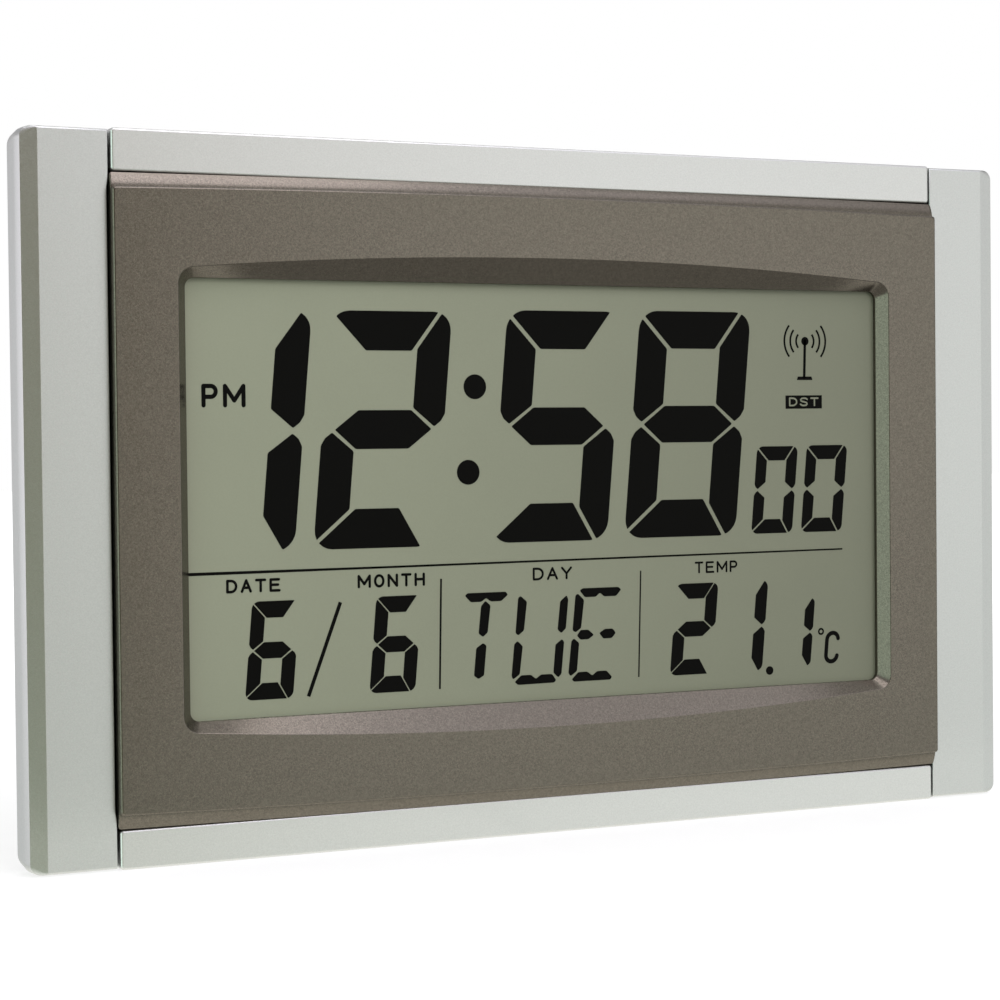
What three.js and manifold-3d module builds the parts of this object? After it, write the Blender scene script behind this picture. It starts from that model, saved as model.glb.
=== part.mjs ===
// Large digital clock for a desk or a wall: silver side panels and bars round a bronze bezel, a display in an
// arched recess, and a rear housing with a battery bay, a fold-out stand, push buttons and a hanging slot.
// Millimetres, +Z up. The front faces -Y. Inside the model y is counted backwards from the silver front.
import * as THREE from "three";
import { mergeVertices } from "three/addons/utils/BufferGeometryUtils.js";
import Module from "manifold-3d";

const wasm = await Module();
wasm.setup();

// Overall size
const WIDTH = 356.2;
const HEIGHT = 226;

// Clearances
const FIT = 0.3;
const BAR_END_GAP = 1;
const BEZEL_GAP = 0.8;
const BEZEL_SIDE_GAP = 1.9;

// Silver surround
const SURROUND_DEPTH = 14;
const SURROUND_WALL = 2;
const BAR_HEIGHT = 12.8;
const SIDE_WIDTH = 27.4;
const SIDE_END_INSET = 0.5;
const SIDE_STEP_RUN = 4;
const BEVEL_WIDTH = 5.9;
const BEVEL_DROP = 0.9;
const EDGE_ROUND = 0.8;
const SIDE_CORNER = 3.5;

// Bezel
const BEZEL_RISE = 3.3;
const BEZEL_WALL = 2;
const BEZEL_SKIRT = 6;
const BEZEL_CORNER = 1;
const COVE_WIDTH = 3.9;
const LIP_HEIGHT = 0.5;
const BEZEL_SLACK = 0.1;
const FACE_WIDTH_X = 19.6;
const FACE_WIDTH_Z = 27.9;
const RECESS_BOW = 5.2;
const RECESS_CORNER = 5;
const RECESS_RUN_X = 3.1;
const RECESS_RUN_Z = 3;
const WINDOW_CORNER = 3;
const WINDOW_LIP_Y = 0.3;
const WINDOW_LIP = 1.3;

// Display
const GLASS_OVERLAP_X = 4.1;
const GLASS_OVERLAP_Z = 4.5;
const GLASS_THICKNESS = 1.4;
const CONTACT_LEDGE = 4;
const REFLECTOR_THICKNESS = 0.3;
const HOLDER_PLATE = 1.6;
const HOLDER_RIM = 2.4;
const HOLDER_SCREW_DROP = 15;
const ZEBRA_END_ROOM = 4.1;
const ZEBRA_WIDTH = 2.6;

// Main circuit board
const BOARD_SIDE_INSET = 3;
const BOARD_HEIGHT = 40;
const BOARD_THICKNESS = 1.6;
const BOARD_STANDOFF = 1;
const BOARD_SCREW_INSET = 5;
const BLOB_RADIUS = 8;
const BLOB_HEIGHT = 2.2;
const CRYSTAL_R = 1.5;
const CRYSTAL_LENGTH = 8;
const CRYSTAL_X = 6;
const CRYSTAL_DROP = 8;
const CHIP_X = -10;
const SENSOR_R = 1.8;
const SENSOR_INSET = 14;
const SENSOR_DROP = 7;

// Screws
const SCREW_HEAD_R = 2.9;
const SCREW_HEAD_H = 1.9;
const SCREW_SHANK_R = 1.4;
const SMALL_HEAD_R = 2.4;
const SMALL_HEAD_H = 1.4;
const SMALL_SHANK_R = 1.1;
const HOLDER_SCREW_LENGTH = 6;
const BOARD_SCREW_LENGTH = 4;
const CROSS_WIDTH = 0.8;
const BOSS_WALL = 1.8;

// Front housing
const HOUSING_PLATE = 2;
const HOUSING_INSET = 6;
const HOUSING_WALL = 2;
const HOUSING_OPENING_MARGIN = 7;
const HOUSING_SILL = 34;

// Batteries and their bay
const CELL_RADIUS = 7.25;
const CELL_LENGTH = 50.5;
const CELL_NUB_R = 2.75;
const CELL_NUB = 1;
const CELL_PITCH = 15.2;
const CELL_PLAY = 0.5;
const BAY_WALL = 1.5;
const BAY_END_ROOM = 4.5;
const BAY_SIDE_ROOM = 26.25;
const BAY_BOARD_ROOM = 3.75;
const BAY_CLEAR = 0.9;
const TAG_SLOT = 3.2;
const TAG_WIDTH = 2.4;
const TAG_REACH = 2;
const CONTACT_THICKNESS = 0.4;
const SPRING_WIRE_R = 0.35;
const SPRING_TURNS = 4;

// Battery door
const DOOR_THICKNESS = 1.6;
const DOOR_LEDGE = 2;
const DOOR_PIVOT_DEPTH = 0.5;
const DOOR_PIVOT_RISE = 1.2;
const DOOR_TAB_WIDTH = 8;
const DOOR_TAB_SPREAD = 20;
const DOOR_TAB_REACH = 2.4;
const DOOR_TAB_THICKNESS = 1.1;
const THUMB_R = 9;

// Rear cover
const COVER_INSET_X = 12.1;
const COVER_INSET_Z = 8;
const COVER_WALL = 2;
const COVER_CORNER = 6;
const COVER_CHAMFER = 2.6;
const COVER_BOSS_OVERLAP = 0.5;
const COVER_SCREW_INSET_Z = 14;
const VENT_WIDTH = 1.6;
const VENT_LENGTH = 22;
const VENT_PITCH = 4;
const VENT_COUNT = 5;
const VENT_INSET = 32;
const VENT_DROP = 22;

// Stand
const STAND_HALF_X = 50;
const STAND_THICKNESS = 3.2;
const STAND_LENGTH = 70;
const STAND_PIVOT_Z = 14;
const STAND_SINK = 0.3;
const STAND_PIN_R = 1.2;
const STAND_PIN_REACH = 2.6;
const STAND_CORNER = 8;
const POCKET_FLOOR_GAP = 0.9;
const POCKET_FLOOR = 1.6;
const POCKET_WALL = 3;
const FINGER_R = 12;

// Hanging slot
const HANG_TOP_INSET = 36;
const HANG_HEAD_R = 4.8;
const HANG_SLOT_R = 2.25;
const HANG_SLOT_RISE = 10;
const HANG_POCKET_DEPTH = 4.7;
const HANG_POCKET_MARGIN = 2.8;

// Push buttons
const BUTTON_NAMES = ["set", "plus", "minus", "unit", "wave"];
const BUTTON_PITCH = 16;
const BUTTON_SIDE_INSET = 43;
const BUTTON_DROP = 2.4;
const BUTTON_R = 4;
const BUTTON_FLANGE = 1;
const BUTTON_FLANGE_H = 1.6;
const BUTTON_STEM_R = 2;
const BUTTON_SINK = 0.5;
const BUTTON_TRAVEL = 0.8;
const PANEL_SINK = 1.5;
const PANEL_MARGIN = 9;
const PANEL_BACKING = 2.5;
const SWITCH_SIZE = 6;
const SWITCH_HEIGHT = 3.5;
const SWITCH_PLUNGER_R = 1.7;

// Rear feet
const FOOT_SIDE_INSET = 48;
const FOOT_LENGTH = 18;
const FOOT_WIDTH = 7.5;
const FOOT_HEIGHT = 1.8;
const FOOT_SETBACK = 1.7;
const FOOT_BLOCK_MARGIN = 0.5;

// Radio receiver
const ROD_RADIUS = 4;
const ROD_LENGTH = 62;
const ROD_SIDE_ROOM = 5;
const ROD_FLOOR_ROOM = 8;
const COIL_LENGTH = 24;
const COIL_WALL = 1.3;
const CLIP_WALL = 1.4;
const CLIP_WIDTH = 5;
const CLIP_FOOT_HALF = 6;
const RECEIVER_WIDTH = 24;
const RECEIVER_HEIGHT = 20;
const RECEIVER_THICKNESS = 1.2;
const RECEIVER_SHIFT = 12;
const RECEIVER_LIFT = 30;
const RECEIVER_POST = 3;
const RECEIVER_POST_R = 2.2;
const RECEIVER_POST_INSET = 3;
const RECEIVER_CHIP_X = 8;
const RECEIVER_CHIP_Y = 1.5;
const RECEIVER_CHIP_Z = 5;
const LEAD_R = 0.7;
const LEAD_BEND = 2;

// Facets
const ROUND_SIDES = 16;
const FINE_SIDES = 24;
const SMALL_SIDES = 10;
const LEAD_SIDES = 6;
const CORNER_STEPS = 3;
const BOW_STEPS = 12;

// Places worked out from the sizes above
const MID_Z = HEIGHT / 2;
const BAR_HALF_X = WIDTH / 2 - SIDE_WIDTH - BAR_END_GAP;
const SIDE_INNER_X = WIDTH / 2 - SIDE_WIDTH;
const BEZEL_HALF_X = BAR_HALF_X - BEZEL_SLACK;
const BEZEL_HALF_Z = MID_Z - BAR_HEIGHT - BEZEL_GAP;
const RECESS_HALF_X = BEZEL_HALF_X - FACE_WIDTH_X;
const RECESS_HALF_Z = BEZEL_HALF_Z - FACE_WIDTH_Z;
const WINDOW_HALF_X = RECESS_HALF_X - RECESS_RUN_X;
const WINDOW_HALF_Z = RECESS_HALF_Z - RECESS_RUN_Z;
const GLASS_HALF_X = WINDOW_HALF_X + GLASS_OVERLAP_X;
const GLASS_HALF_Z = WINDOW_HALF_Z + GLASS_OVERLAP_Z;
const FLANGE_Y = WINDOW_LIP_Y + WINDOW_LIP;
const GLASS_Y = FLANGE_Y + FIT;
const GLASS_BACK_Y = GLASS_Y + 2 * GLASS_THICKNESS;
const REFLECTOR_Y = GLASS_BACK_Y + FIT;
const HOLDER_Y = REFLECTOR_Y + REFLECTOR_THICKNESS + FIT;
const HOLDER_BACK_Y = HOLDER_Y + HOLDER_PLATE;
const HOLDER_HALF_X = GLASS_HALF_X + FIT + HOLDER_RIM;
const HOLDER_HALF_Z = GLASS_HALF_Z + FIT + HOLDER_RIM;
const HOLDER_SCREW_X = HOLDER_HALF_X + FIT + SMALL_SHANK_R + BOSS_WALL;
const HOLDER_SCREW_DZ = GLASS_HALF_Z - HOLDER_SCREW_DROP;
const BOARD_Y = HOLDER_BACK_Y + BOARD_STANDOFF;
const BOARD_HALF_X = GLASS_HALF_X - BOARD_SIDE_INSET;
const BOARD_BACK_Y = BOARD_Y + BOARD_THICKNESS;
const BOARD_TOP_Z = MID_Z + GLASS_HALF_Z + HOLDER_RIM;
const BOARD_MID_Z = BOARD_TOP_Z - BOARD_HEIGHT / 2;
const BOARD_LOW_Z = BOARD_TOP_Z - BOARD_HEIGHT;
const BOARD_POST_R = SMALL_SHANK_R + BOSS_WALL;
const ZEBRA_HALF_X = BOARD_HALF_X - BOARD_SCREW_INSET - BOARD_POST_R - ZEBRA_END_ROOM;
const HOUSING_OPENING_X = GLASS_HALF_X + HOUSING_OPENING_MARGIN;
const HOUSING_OPENING_Z = MID_Z - HOUSING_SILL;
const BAY_FRONT_Y = HOLDER_BACK_Y + BAY_CLEAR;
const BAY_FLOOR_Y = BAY_FRONT_Y + BAY_WALL;
const CELL_Y = BAY_FLOOR_Y + CELL_PLAY + CELL_RADIUS;
const DOOR_Y = CELL_Y + CELL_RADIUS + CELL_PLAY;
const REAR_Y = DOOR_Y + DOOR_THICKNESS;
const COVER_IN_Y = REAR_Y - COVER_WALL;
const COVER_FRONT_Y = SURROUND_DEPTH + HOUSING_PLATE;
const COVER_HALF_X = WIDTH / 2 - COVER_INSET_X;
const COVER_HALF_Z = MID_Z - COVER_INSET_Z;
const COVER_BOSS_R = SCREW_HEAD_R + FIT + BOSS_WALL;
const COVER_SCREW_X = COVER_HALF_X - COVER_WALL - COVER_BOSS_R + COVER_BOSS_OVERLAP;
const COVER_SCREW_DZ = COVER_HALF_Z - COVER_SCREW_INSET_Z;
const COVER_SCREW_SEAT_Y = COVER_FRONT_Y + 2.5;
const BAY_HALF_X = CELL_LENGTH / 2 + BAY_END_ROOM;
const BAY_HALF_Z = CELL_PITCH / 2 + CELL_RADIUS + CELL_PLAY;
const DOOR_HALF_X = BAY_HALF_X + DOOR_LEDGE;
const DOOR_HALF_Z = BAY_HALF_Z + DOOR_LEDGE;
const BAY_X = HOUSING_OPENING_X - BAY_HALF_X - BAY_SIDE_ROOM;
const BAY_Z = BOARD_LOW_Z - BAY_BOARD_ROOM - COVER_WALL - FIT - DOOR_HALF_Z;
const STAND_PIVOT_Y = REAR_Y - STAND_SINK - STAND_THICKNESS / 2;
const POCKET_FLOOR_Y = REAR_Y - STAND_SINK - STAND_THICKNESS - POCKET_FLOOR_GAP;
const PANEL_Y = REAR_Y - PANEL_SINK;
const PANEL_IN_Y = PANEL_Y - PANEL_BACKING;
const ROD_Y = COVER_IN_Y - FIT - CLIP_WALL - FIT - ROD_RADIUS - 0.4;
const RECEIVER_BACK_Y = COVER_IN_Y - RECEIVER_POST - FIT;
const BUTTON_COUNT = BUTTON_NAMES.length;
const BUTTON_X = BUTTON_SIDE_INSET - BOARD_HALF_X;
const BUTTON_Z = BOARD_MID_Z - BUTTON_DROP;
const HANG_Z = HEIGHT - HANG_TOP_INSET;
const FOOT_X = COVER_HALF_X - FOOT_SIDE_INSET;
const ROD_X = HOUSING_OPENING_X - ROD_SIDE_ROOM - ROD_LENGTH / 2;
const ROD_Z = HOUSING_SILL + ROD_FLOOR_ROOM;
const RECEIVER_X = ROD_X - RECEIVER_SHIFT;
const RECEIVER_Z = ROD_Z + RECEIVER_LIFT;

// Finishes
function finish(color, roughness, metalness = 0) {
  return new THREE.MeshStandardMaterial({ color, roughness, metalness });
}
const silver = () => finish(0xcccdc9, 0.42, 0.55);
const bronze = () => finish(0x6f6a60, 0.5, 0.5);
const blackPlastic = () => finish(0x1c1c1d, 0.55);
const greyPlastic = () => finish(0x3a3b3d, 0.6);
const whitePlastic = () => finish(0xe6e5df, 0.6);
const rubber = () => finish(0x232323, 0.9);
const displayGlass = () => finish(0x949a82, 0.25);
const foil = () => finish(0xaeb29a, 0.4, 0.3);
const circuitGreen = () => finish(0x1f6b3a, 0.55);
const steel = () => finish(0xb9bbbd, 0.3, 1);
const ferrite = () => finish(0x3b3a3a, 0.7);
const copper = () => finish(0xb36a3a, 0.35, 0.9);
const pinkRubber = () => finish(0xd8a7a0, 0.8);
const cellWrap = () => finish(0x3f6f8f, 0.35);
const redPlastic = () => finish(0xb02a24, 0.5);

// Closed solids
function solid(geometry) {
  const bare = geometry.index ? geometry.toNonIndexed() : geometry.clone();
  bare.deleteAttribute("normal");
  bare.deleteAttribute("uv");
  const merged = mergeVertices(bare, 1e-4);
  const corners = merged.index.array;
  const kept = [];
  for (let i = 0; i < corners.length; i += 3) {
    const [a, b, c] = [corners[i], corners[i + 1], corners[i + 2]];
    if (a !== b && b !== c && c !== a) kept.push(a, b, c);
  }
  return new wasm.Manifold(
    new wasm.Mesh({
      numProp: 3,
      vertProperties: merged.attributes.position.array,
      triVerts: new Uint32Array(kept),
    }),
  );
}

function geometryOf(body) {
  const mesh = body.getMesh();
  const geometry = new THREE.BufferGeometry();
  geometry.setAttribute("position", new THREE.BufferAttribute(mesh.vertProperties, 3));
  geometry.setIndex(new THREE.BufferAttribute(mesh.triVerts, 1));
  const faceted = geometry.toNonIndexed();
  faceted.computeVertexNormals();
  return faceted;
}

const union = (bodies) => bodies.reduce((sum, body) => sum.add(body));
const cut = (body, tools) => tools.reduce((rest, tool) => rest.subtract(tool), body);

// A block between two corners.
function block(x0, x1, y0, y1, z0, z1) {
  const box = new THREE.BoxGeometry(x1 - x0, y1 - y0, z1 - z0);
  box.translate((x0 + x1) / 2, (y0 + y1) / 2, (z0 + z1) / 2);
  return solid(box);
}

// A round bar along y, at (x, z).
function barY(radius, x, z, y0, y1, sides = ROUND_SIDES) {
  const bar = new THREE.CylinderGeometry(radius, radius, y1 - y0, sides);
  bar.translate(x, (y0 + y1) / 2, z);
  return solid(bar);
}

// A round bar along x, at (y, z).
function barX(radius, y, z, x0, x1, sides = ROUND_SIDES) {
  const bar = new THREE.CylinderGeometry(radius, radius, x1 - x0, sides);
  bar.rotateZ(Math.PI / 2);
  bar.translate((x0 + x1) / 2, y, z);
  return solid(bar);
}

// A turned body about the y axis through (x, z): profile is a list of [radius, y].
function turned(profile, x, z, sides = ROUND_SIDES) {
  const points = profile.map(([radius, y]) => new THREE.Vector2(radius, y));
  const lathe = new THREE.LatheGeometry(points, sides);
  lathe.translate(x, 0, z);
  return solid(lathe);
}

// Rounded rectangle, anticlockwise seen from the front; its top and bottom edges bow out by a parabola.
function roundedOutline(halfX, halfZ, radius, bow = 0, edgeSteps = 1) {
  const points = [];
  const cornerX = halfX - radius;
  const cornerZ = halfZ - radius;
  for (let quarter = 0; quarter < 4; quarter++) {
    const sideX = quarter === 0 || quarter === 3 ? 1 : -1;
    const sideZ = quarter < 2 ? 1 : -1;
    for (let step = 0; step <= CORNER_STEPS; step++) {
      const angle = ((quarter + step / CORNER_STEPS) * Math.PI) / 2;
      const x = sideX * cornerX + radius * Math.cos(angle);
      points.push(new THREE.Vector2(x, sideZ * cornerZ + radius * Math.sin(angle)));
    }
    if (quarter % 2 === 1) continue;
    for (let step = 1; step < edgeSteps; step++) {
      const x = sideX * cornerX * (1 - (2 * step) / edgeSteps);
      points.push(new THREE.Vector2(x, sideZ * (halfZ + bow * (1 - (x / cornerX) ** 2))));
    }
  }
  return points;
}

// An outline set at a depth y, about the centre (x, z).
function ring(outline, y, x = 0, z = MID_Z) {
  return outline.map((p) => new THREE.Vector3(x + p.x, y, z + p.y));
}

// Skin through rings of equal count. Open ends are capped, and a looped skin joins its last ring to its first.
function skin(rings, looped = false) {
  const corners = [];
  const count = rings[0].length;
  const pairs = looped ? rings.length : rings.length - 1;
  for (let i = 0; i < pairs; i++) {
    const from = rings[i];
    const to = rings[(i + 1) % rings.length];
    for (let j = 0; j < count; j++) {
      const k = (j + 1) % count;
      corners.push(from[j], from[k], to[k], from[j], to[k], to[j]);
    }
  }
  if (!looped) {
    const first = rings[0];
    const last = rings[rings.length - 1];
    const flat = (loop) => loop.map((p) => new THREE.Vector2(p.x, p.z));
    for (const [a, b, c] of THREE.ShapeUtils.triangulateShape(flat(first), []))
      corners.push(first[c], first[b], first[a]);
    for (const [a, b, c] of THREE.ShapeUtils.triangulateShape(flat(last), []))
      corners.push(last[a], last[b], last[c]);
  }
  return solid(new THREE.BufferGeometry().setFromPoints(corners));
}

// A plate of rounded outline between two depths.
function plate(halfX, halfZ, radius, y0, y1, x = 0, z = MID_Z) {
  const outline = roundedOutline(halfX, halfZ, radius);
  return skin([ring(outline, y1, x, z), ring(outline, y0, x, z)]);
}

// A round wire or lead along a curve.
function tube(curve, radius, steps, sides) {
  const section = new THREE.Shape();
  for (let i = 0; i < sides; i++) {
    const angle = (2 * Math.PI * i) / sides;
    if (i === 0) section.moveTo(radius, 0);
    else section.lineTo(radius * Math.cos(angle), radius * Math.sin(angle));
  }
  section.closePath();
  const options = { steps, extrudePath: curve, bevelEnabled: false, curveSegments: 1 };
  return solid(new THREE.ExtrudeGeometry(section, options));
}

const clock = new THREE.Group();
clock.position.y = (BEZEL_RISE - REAR_Y) / 2;

function piece(name, body, material) {
  const mesh = new THREE.Mesh(geometryOf(body), material);
  mesh.name = name;
  clock.add(mesh);
}

// Silver surround: a hollow shell, open at the back.
function barShell(z0) {
  const halfZ = BAR_HEIGHT / 2;
  const z = z0 + halfZ;
  const at = (inset, y) =>
    ring(roundedOutline(BAR_HALF_X - inset, halfZ - inset, EDGE_ROUND - inset / 2), y, 0, z);
  const inner = (y) =>
    ring(roundedOutline(BAR_HALF_X - SURROUND_WALL, halfZ - SURROUND_WALL, EDGE_ROUND), y, 0, z);
  return skin([
    inner(SURROUND_WALL),
    inner(SURROUND_DEPTH),
    at(0, SURROUND_DEPTH),
    at(0, EDGE_ROUND),
    at(EDGE_ROUND * 0.3, EDGE_ROUND * 0.3),
    at(EDGE_ROUND, 0),
  ]);
}

// Right side panel outline: rounded outer corners, and an inner edge that steps back beside the bezel.
function panelOutline(inset, outerX, corner) {
  const near = SIDE_INNER_X + inset;
  const far = BEZEL_HALF_X + BEZEL_SIDE_GAP + inset;
  const top = HEIGHT - SIDE_END_INSET - inset;
  const low = SIDE_END_INSET + inset;
  const stepStart = BAR_HEIGHT + BEZEL_GAP + SIDE_STEP_RUN / 4;
  const points = [];
  for (const [z, turn] of [
    [low + corner, -1],
    [top - corner, 0],
  ]) {
    for (let step = 0; step <= CORNER_STEPS; step++) {
      const angle = ((turn + step / CORNER_STEPS) * Math.PI) / 2;
      const x = outerX - corner + corner * Math.cos(angle);
      points.push(new THREE.Vector2(x, z + corner * Math.sin(angle)));
    }
  }
  points.push(new THREE.Vector2(near, top));
  points.push(new THREE.Vector2(near, HEIGHT - stepStart));
  points.push(new THREE.Vector2(far, HEIGHT - stepStart - SIDE_STEP_RUN));
  points.push(new THREE.Vector2(far, stepStart + SIDE_STEP_RUN));
  points.push(new THREE.Vector2(near, stepStart));
  points.push(new THREE.Vector2(near, low));
  return points;
}

function sidePanel(side) {
  const edge = WIDTH / 2;
  const flat = edge - BEVEL_WIDTH;
  const at = (inset, outerX, corner, y) => {
    const outline = panelOutline(inset, outerX, corner);
    if (side > 0) return ring(outline, y, 0, 0);
    const mirrored = outline.map((p) => new THREE.Vector2(-p.x, p.y));
    return ring(mirrored.reverse(), y, 0, 0);
  };
  const inEdge = edge - SURROUND_WALL;
  const inCorner = SIDE_CORNER - SURROUND_WALL;
  return skin([
    at(SURROUND_WALL, inEdge, inCorner, SURROUND_WALL + BEVEL_DROP),
    at(SURROUND_WALL, inEdge, inCorner, SURROUND_DEPTH),
    at(0, edge, SIDE_CORNER, SURROUND_DEPTH),
    at(0, edge, SIDE_CORNER, BEVEL_DROP + EDGE_ROUND),
    at(0, edge - EDGE_ROUND, SIDE_CORNER - EDGE_ROUND / 2, BEVEL_DROP),
    at(EDGE_ROUND * 0.3, flat + BEVEL_WIDTH * 0.25, EDGE_ROUND, BEVEL_DROP * 0.25),
    at(EDGE_ROUND, flat, EDGE_ROUND / 2, 0),
  ]);
}

// Bezel: a dished frame with hollow coves along its top and bottom, and a sloping wall down to the window.
function bezel() {
  const at = (halfX, halfZ, radius, bow, y) => ring(roundedOutline(halfX, halfZ, radius, bow, BOW_STEPS), y);
  const coveHeight = BEZEL_RISE - LIP_HEIGHT;
  const coveRun = COVE_WIDTH - LIP_HEIGHT;
  const rings = [at(BEZEL_HALF_X, BEZEL_HALF_Z, BEZEL_CORNER, 0, BEZEL_SKIRT)];
  for (let step = 0; step <= CORNER_STEPS; step++) {
    const angle = (step / CORNER_STEPS) * (Math.PI / 2);
    const halfZ = BEZEL_HALF_Z - coveRun * Math.sin(angle);
    rings.push(at(BEZEL_HALF_X, halfZ, BEZEL_CORNER, 0, -coveHeight * (1 - Math.cos(angle))));
  }
  const faceHalfZ = BEZEL_HALF_Z - COVE_WIDTH;
  const inHalfX = BEZEL_HALF_X - BEZEL_WALL;
  const inHalfZ = BEZEL_HALF_Z - BEZEL_WALL;
  const backHalfX = GLASS_HALF_X + FIT;
  const backHalfZ = GLASS_HALF_Z + FIT;
  const faceBackY = BEZEL_WALL - BEZEL_RISE;
  rings.push(at(BEZEL_HALF_X - LIP_HEIGHT, faceHalfZ, BEZEL_CORNER, 0, -BEZEL_RISE));
  rings.push(at(RECESS_HALF_X, RECESS_HALF_Z, RECESS_CORNER, RECESS_BOW, -BEZEL_RISE));
  rings.push(at(WINDOW_HALF_X, WINDOW_HALF_Z, WINDOW_CORNER, 0, WINDOW_LIP_Y));
  rings.push(at(WINDOW_HALF_X, WINDOW_HALF_Z, WINDOW_CORNER, 0, FLANGE_Y));
  rings.push(at(backHalfX, backHalfZ, WINDOW_CORNER, 0, FLANGE_Y));
  rings.push(at(backHalfX + BEZEL_WALL, backHalfZ + 1, WINDOW_CORNER, RECESS_BOW, faceBackY));
  rings.push(at(inHalfX, faceHalfZ - BEZEL_WALL, BEZEL_CORNER, 0, faceBackY));
  rings.push(at(inHalfX, inHalfZ, BEZEL_CORNER, 0, BEZEL_WALL));
  rings.push(at(inHalfX, inHalfZ, BEZEL_CORNER, 0, BEZEL_SKIRT));
  const frame = skin(rings, true);
  const posts = [];
  const holes = [];
  for (const [x, z] of holderScrewPlaces()) {
    posts.push(barY(SMALL_SHANK_R + FIT + BOSS_WALL, x, z, faceBackY - 0.4, HOLDER_Y - FIT, SMALL_SIDES));
    holes.push(barY(SMALL_SHANK_R + FIT, x, z, faceBackY + 0.8, HOLDER_Y, SMALL_SIDES));
  }
  return cut(union([frame, ...posts]), holes);
}

// The four corners of a rectangle about x = 0.
const corners = (x, z, dz) => [
  [-x, z - dz],
  [x, z - dz],
  [-x, z + dz],
  [x, z + dz],
];
const holderScrewPlaces = () => corners(HOLDER_SCREW_X, MID_Z, HOLDER_SCREW_DZ);
const boardScrewPlaces = () =>
  corners(BOARD_HALF_X - BOARD_SCREW_INSET, BOARD_MID_Z, BOARD_HEIGHT / 2 - BOARD_SCREW_INSET);
const coverScrewPlaces = () => [
  ...corners(COVER_SCREW_X, MID_Z, COVER_SCREW_DZ),
  [-COVER_SCREW_X, MID_Z],
  [COVER_SCREW_X, MID_Z],
];
const buttonX = (index) => BUTTON_X + (index - (BUTTON_COUNT - 1) / 2) * BUTTON_PITCH;

// Display: two glass plates, the front one taller so that its contacts show at the back along the top.
function displayGlassPlates() {
  const top = MID_Z + GLASS_HALF_Z;
  const low = MID_Z - GLASS_HALF_Z;
  const middle = GLASS_Y + GLASS_THICKNESS;
  return union([
    block(-GLASS_HALF_X, GLASS_HALF_X, GLASS_Y, middle + 0.01, low, top),
    block(-GLASS_HALF_X, GLASS_HALF_X, middle, GLASS_BACK_Y, low, top - CONTACT_LEDGE),
  ]);
}

function reflector() {
  const top = MID_Z + GLASS_HALF_Z - CONTACT_LEDGE - FIT;
  const half = GLASS_HALF_X - 1;
  return block(-half, half, REFLECTOR_Y, REFLECTOR_Y + REFLECTOR_THICKNESS, MID_Z - GLASS_HALF_Z + 1, top);
}

const zebraLow = () => MID_Z + GLASS_HALF_Z - CONTACT_LEDGE + FIT + 0.2;

function zebra() {
  const front = GLASS_Y + GLASS_THICKNESS + FIT;
  const low = zebraLow();
  return block(-ZEBRA_HALF_X, ZEBRA_HALF_X, front, BOARD_Y - FIT, low, low + ZEBRA_WIDTH);
}

// Tray behind the glass, with a rim round it, a slot for the contact strip, ears and board posts.
function displayHolder() {
  const top = MID_Z + HOLDER_HALF_Z;
  const low = MID_Z - HOLDER_HALF_Z;
  const bodies = [block(-HOLDER_HALF_X, HOLDER_HALF_X, GLASS_Y + 0.2, HOLDER_BACK_Y, low, top)];
  const ear = SMALL_SHANK_R + FIT + BOSS_WALL;
  const cuts = [
    block(
      -GLASS_HALF_X - FIT,
      GLASS_HALF_X + FIT,
      GLASS_Y - 1,
      HOLDER_Y,
      MID_Z - GLASS_HALF_Z - FIT,
      MID_Z + GLASS_HALF_Z + FIT,
    ),
    block(
      -ZEBRA_HALF_X - FIT,
      ZEBRA_HALF_X + FIT,
      HOLDER_Y - 1,
      HOLDER_BACK_Y + 1,
      zebraLow() - FIT,
      zebraLow() + ZEBRA_WIDTH + FIT,
    ),
  ];
  for (const [x, z] of holderScrewPlaces()) {
    const inner = Math.sign(x) * (HOLDER_HALF_X - 1);
    bodies.push(barY(ear, x, z, HOLDER_Y, HOLDER_BACK_Y, SMALL_SIDES));
    bodies.push(block(Math.min(x, inner), Math.max(x, inner), HOLDER_Y, HOLDER_BACK_Y, z - ear, z + ear));
    cuts.push(barY(SMALL_SHANK_R + FIT, x, z, HOLDER_Y - 1, HOLDER_BACK_Y + 1, SMALL_SIDES));
  }
  for (const [x, z] of boardScrewPlaces()) {
    bodies.push(barY(BOARD_POST_R, x, z, HOLDER_BACK_Y - 0.5, BOARD_Y - FIT, SMALL_SIDES));
    cuts.push(barY(SMALL_SHANK_R + FIT, x, z, HOLDER_Y - 1, BOARD_Y + 1, SMALL_SIDES));
  }
  return cut(union(bodies), cuts);
}

// Main board and what is soldered to it.
function mainBoard() {
  const board = block(-BOARD_HALF_X, BOARD_HALF_X, BOARD_Y, BOARD_BACK_Y, BOARD_LOW_Z, BOARD_TOP_Z);
  const holes = boardScrewPlaces().map(([x, z]) =>
    barY(SMALL_SHANK_R + FIT, x, z, BOARD_Y - 1, BOARD_BACK_Y + 1, SMALL_SIDES),
  );
  return cut(board, holes);
}

function controllerChip() {
  const y = BOARD_BACK_Y + FIT;
  return turned(
    [
      [0, y],
      [BLOB_RADIUS, y],
      [BLOB_RADIUS * 0.86, y + BLOB_HEIGHT * 0.55],
      [BLOB_RADIUS * 0.5, y + BLOB_HEIGHT * 0.92],
      [0, y + BLOB_HEIGHT],
    ],
    CHIP_X,
    BOARD_MID_Z,
    FINE_SIDES,
  );
}

function tactSwitch(x) {
  const y = BOARD_BACK_Y + FIT;
  const half = SWITCH_SIZE / 2;
  const top = y + SWITCH_HEIGHT;
  return union([
    block(x - half, x + half, y, top, BUTTON_Z - half, BUTTON_Z + half),
    barY(SWITCH_PLUNGER_R, x, BUTTON_Z, top - 0.5, top + 1, SMALL_SIDES),
  ]);
}

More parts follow.
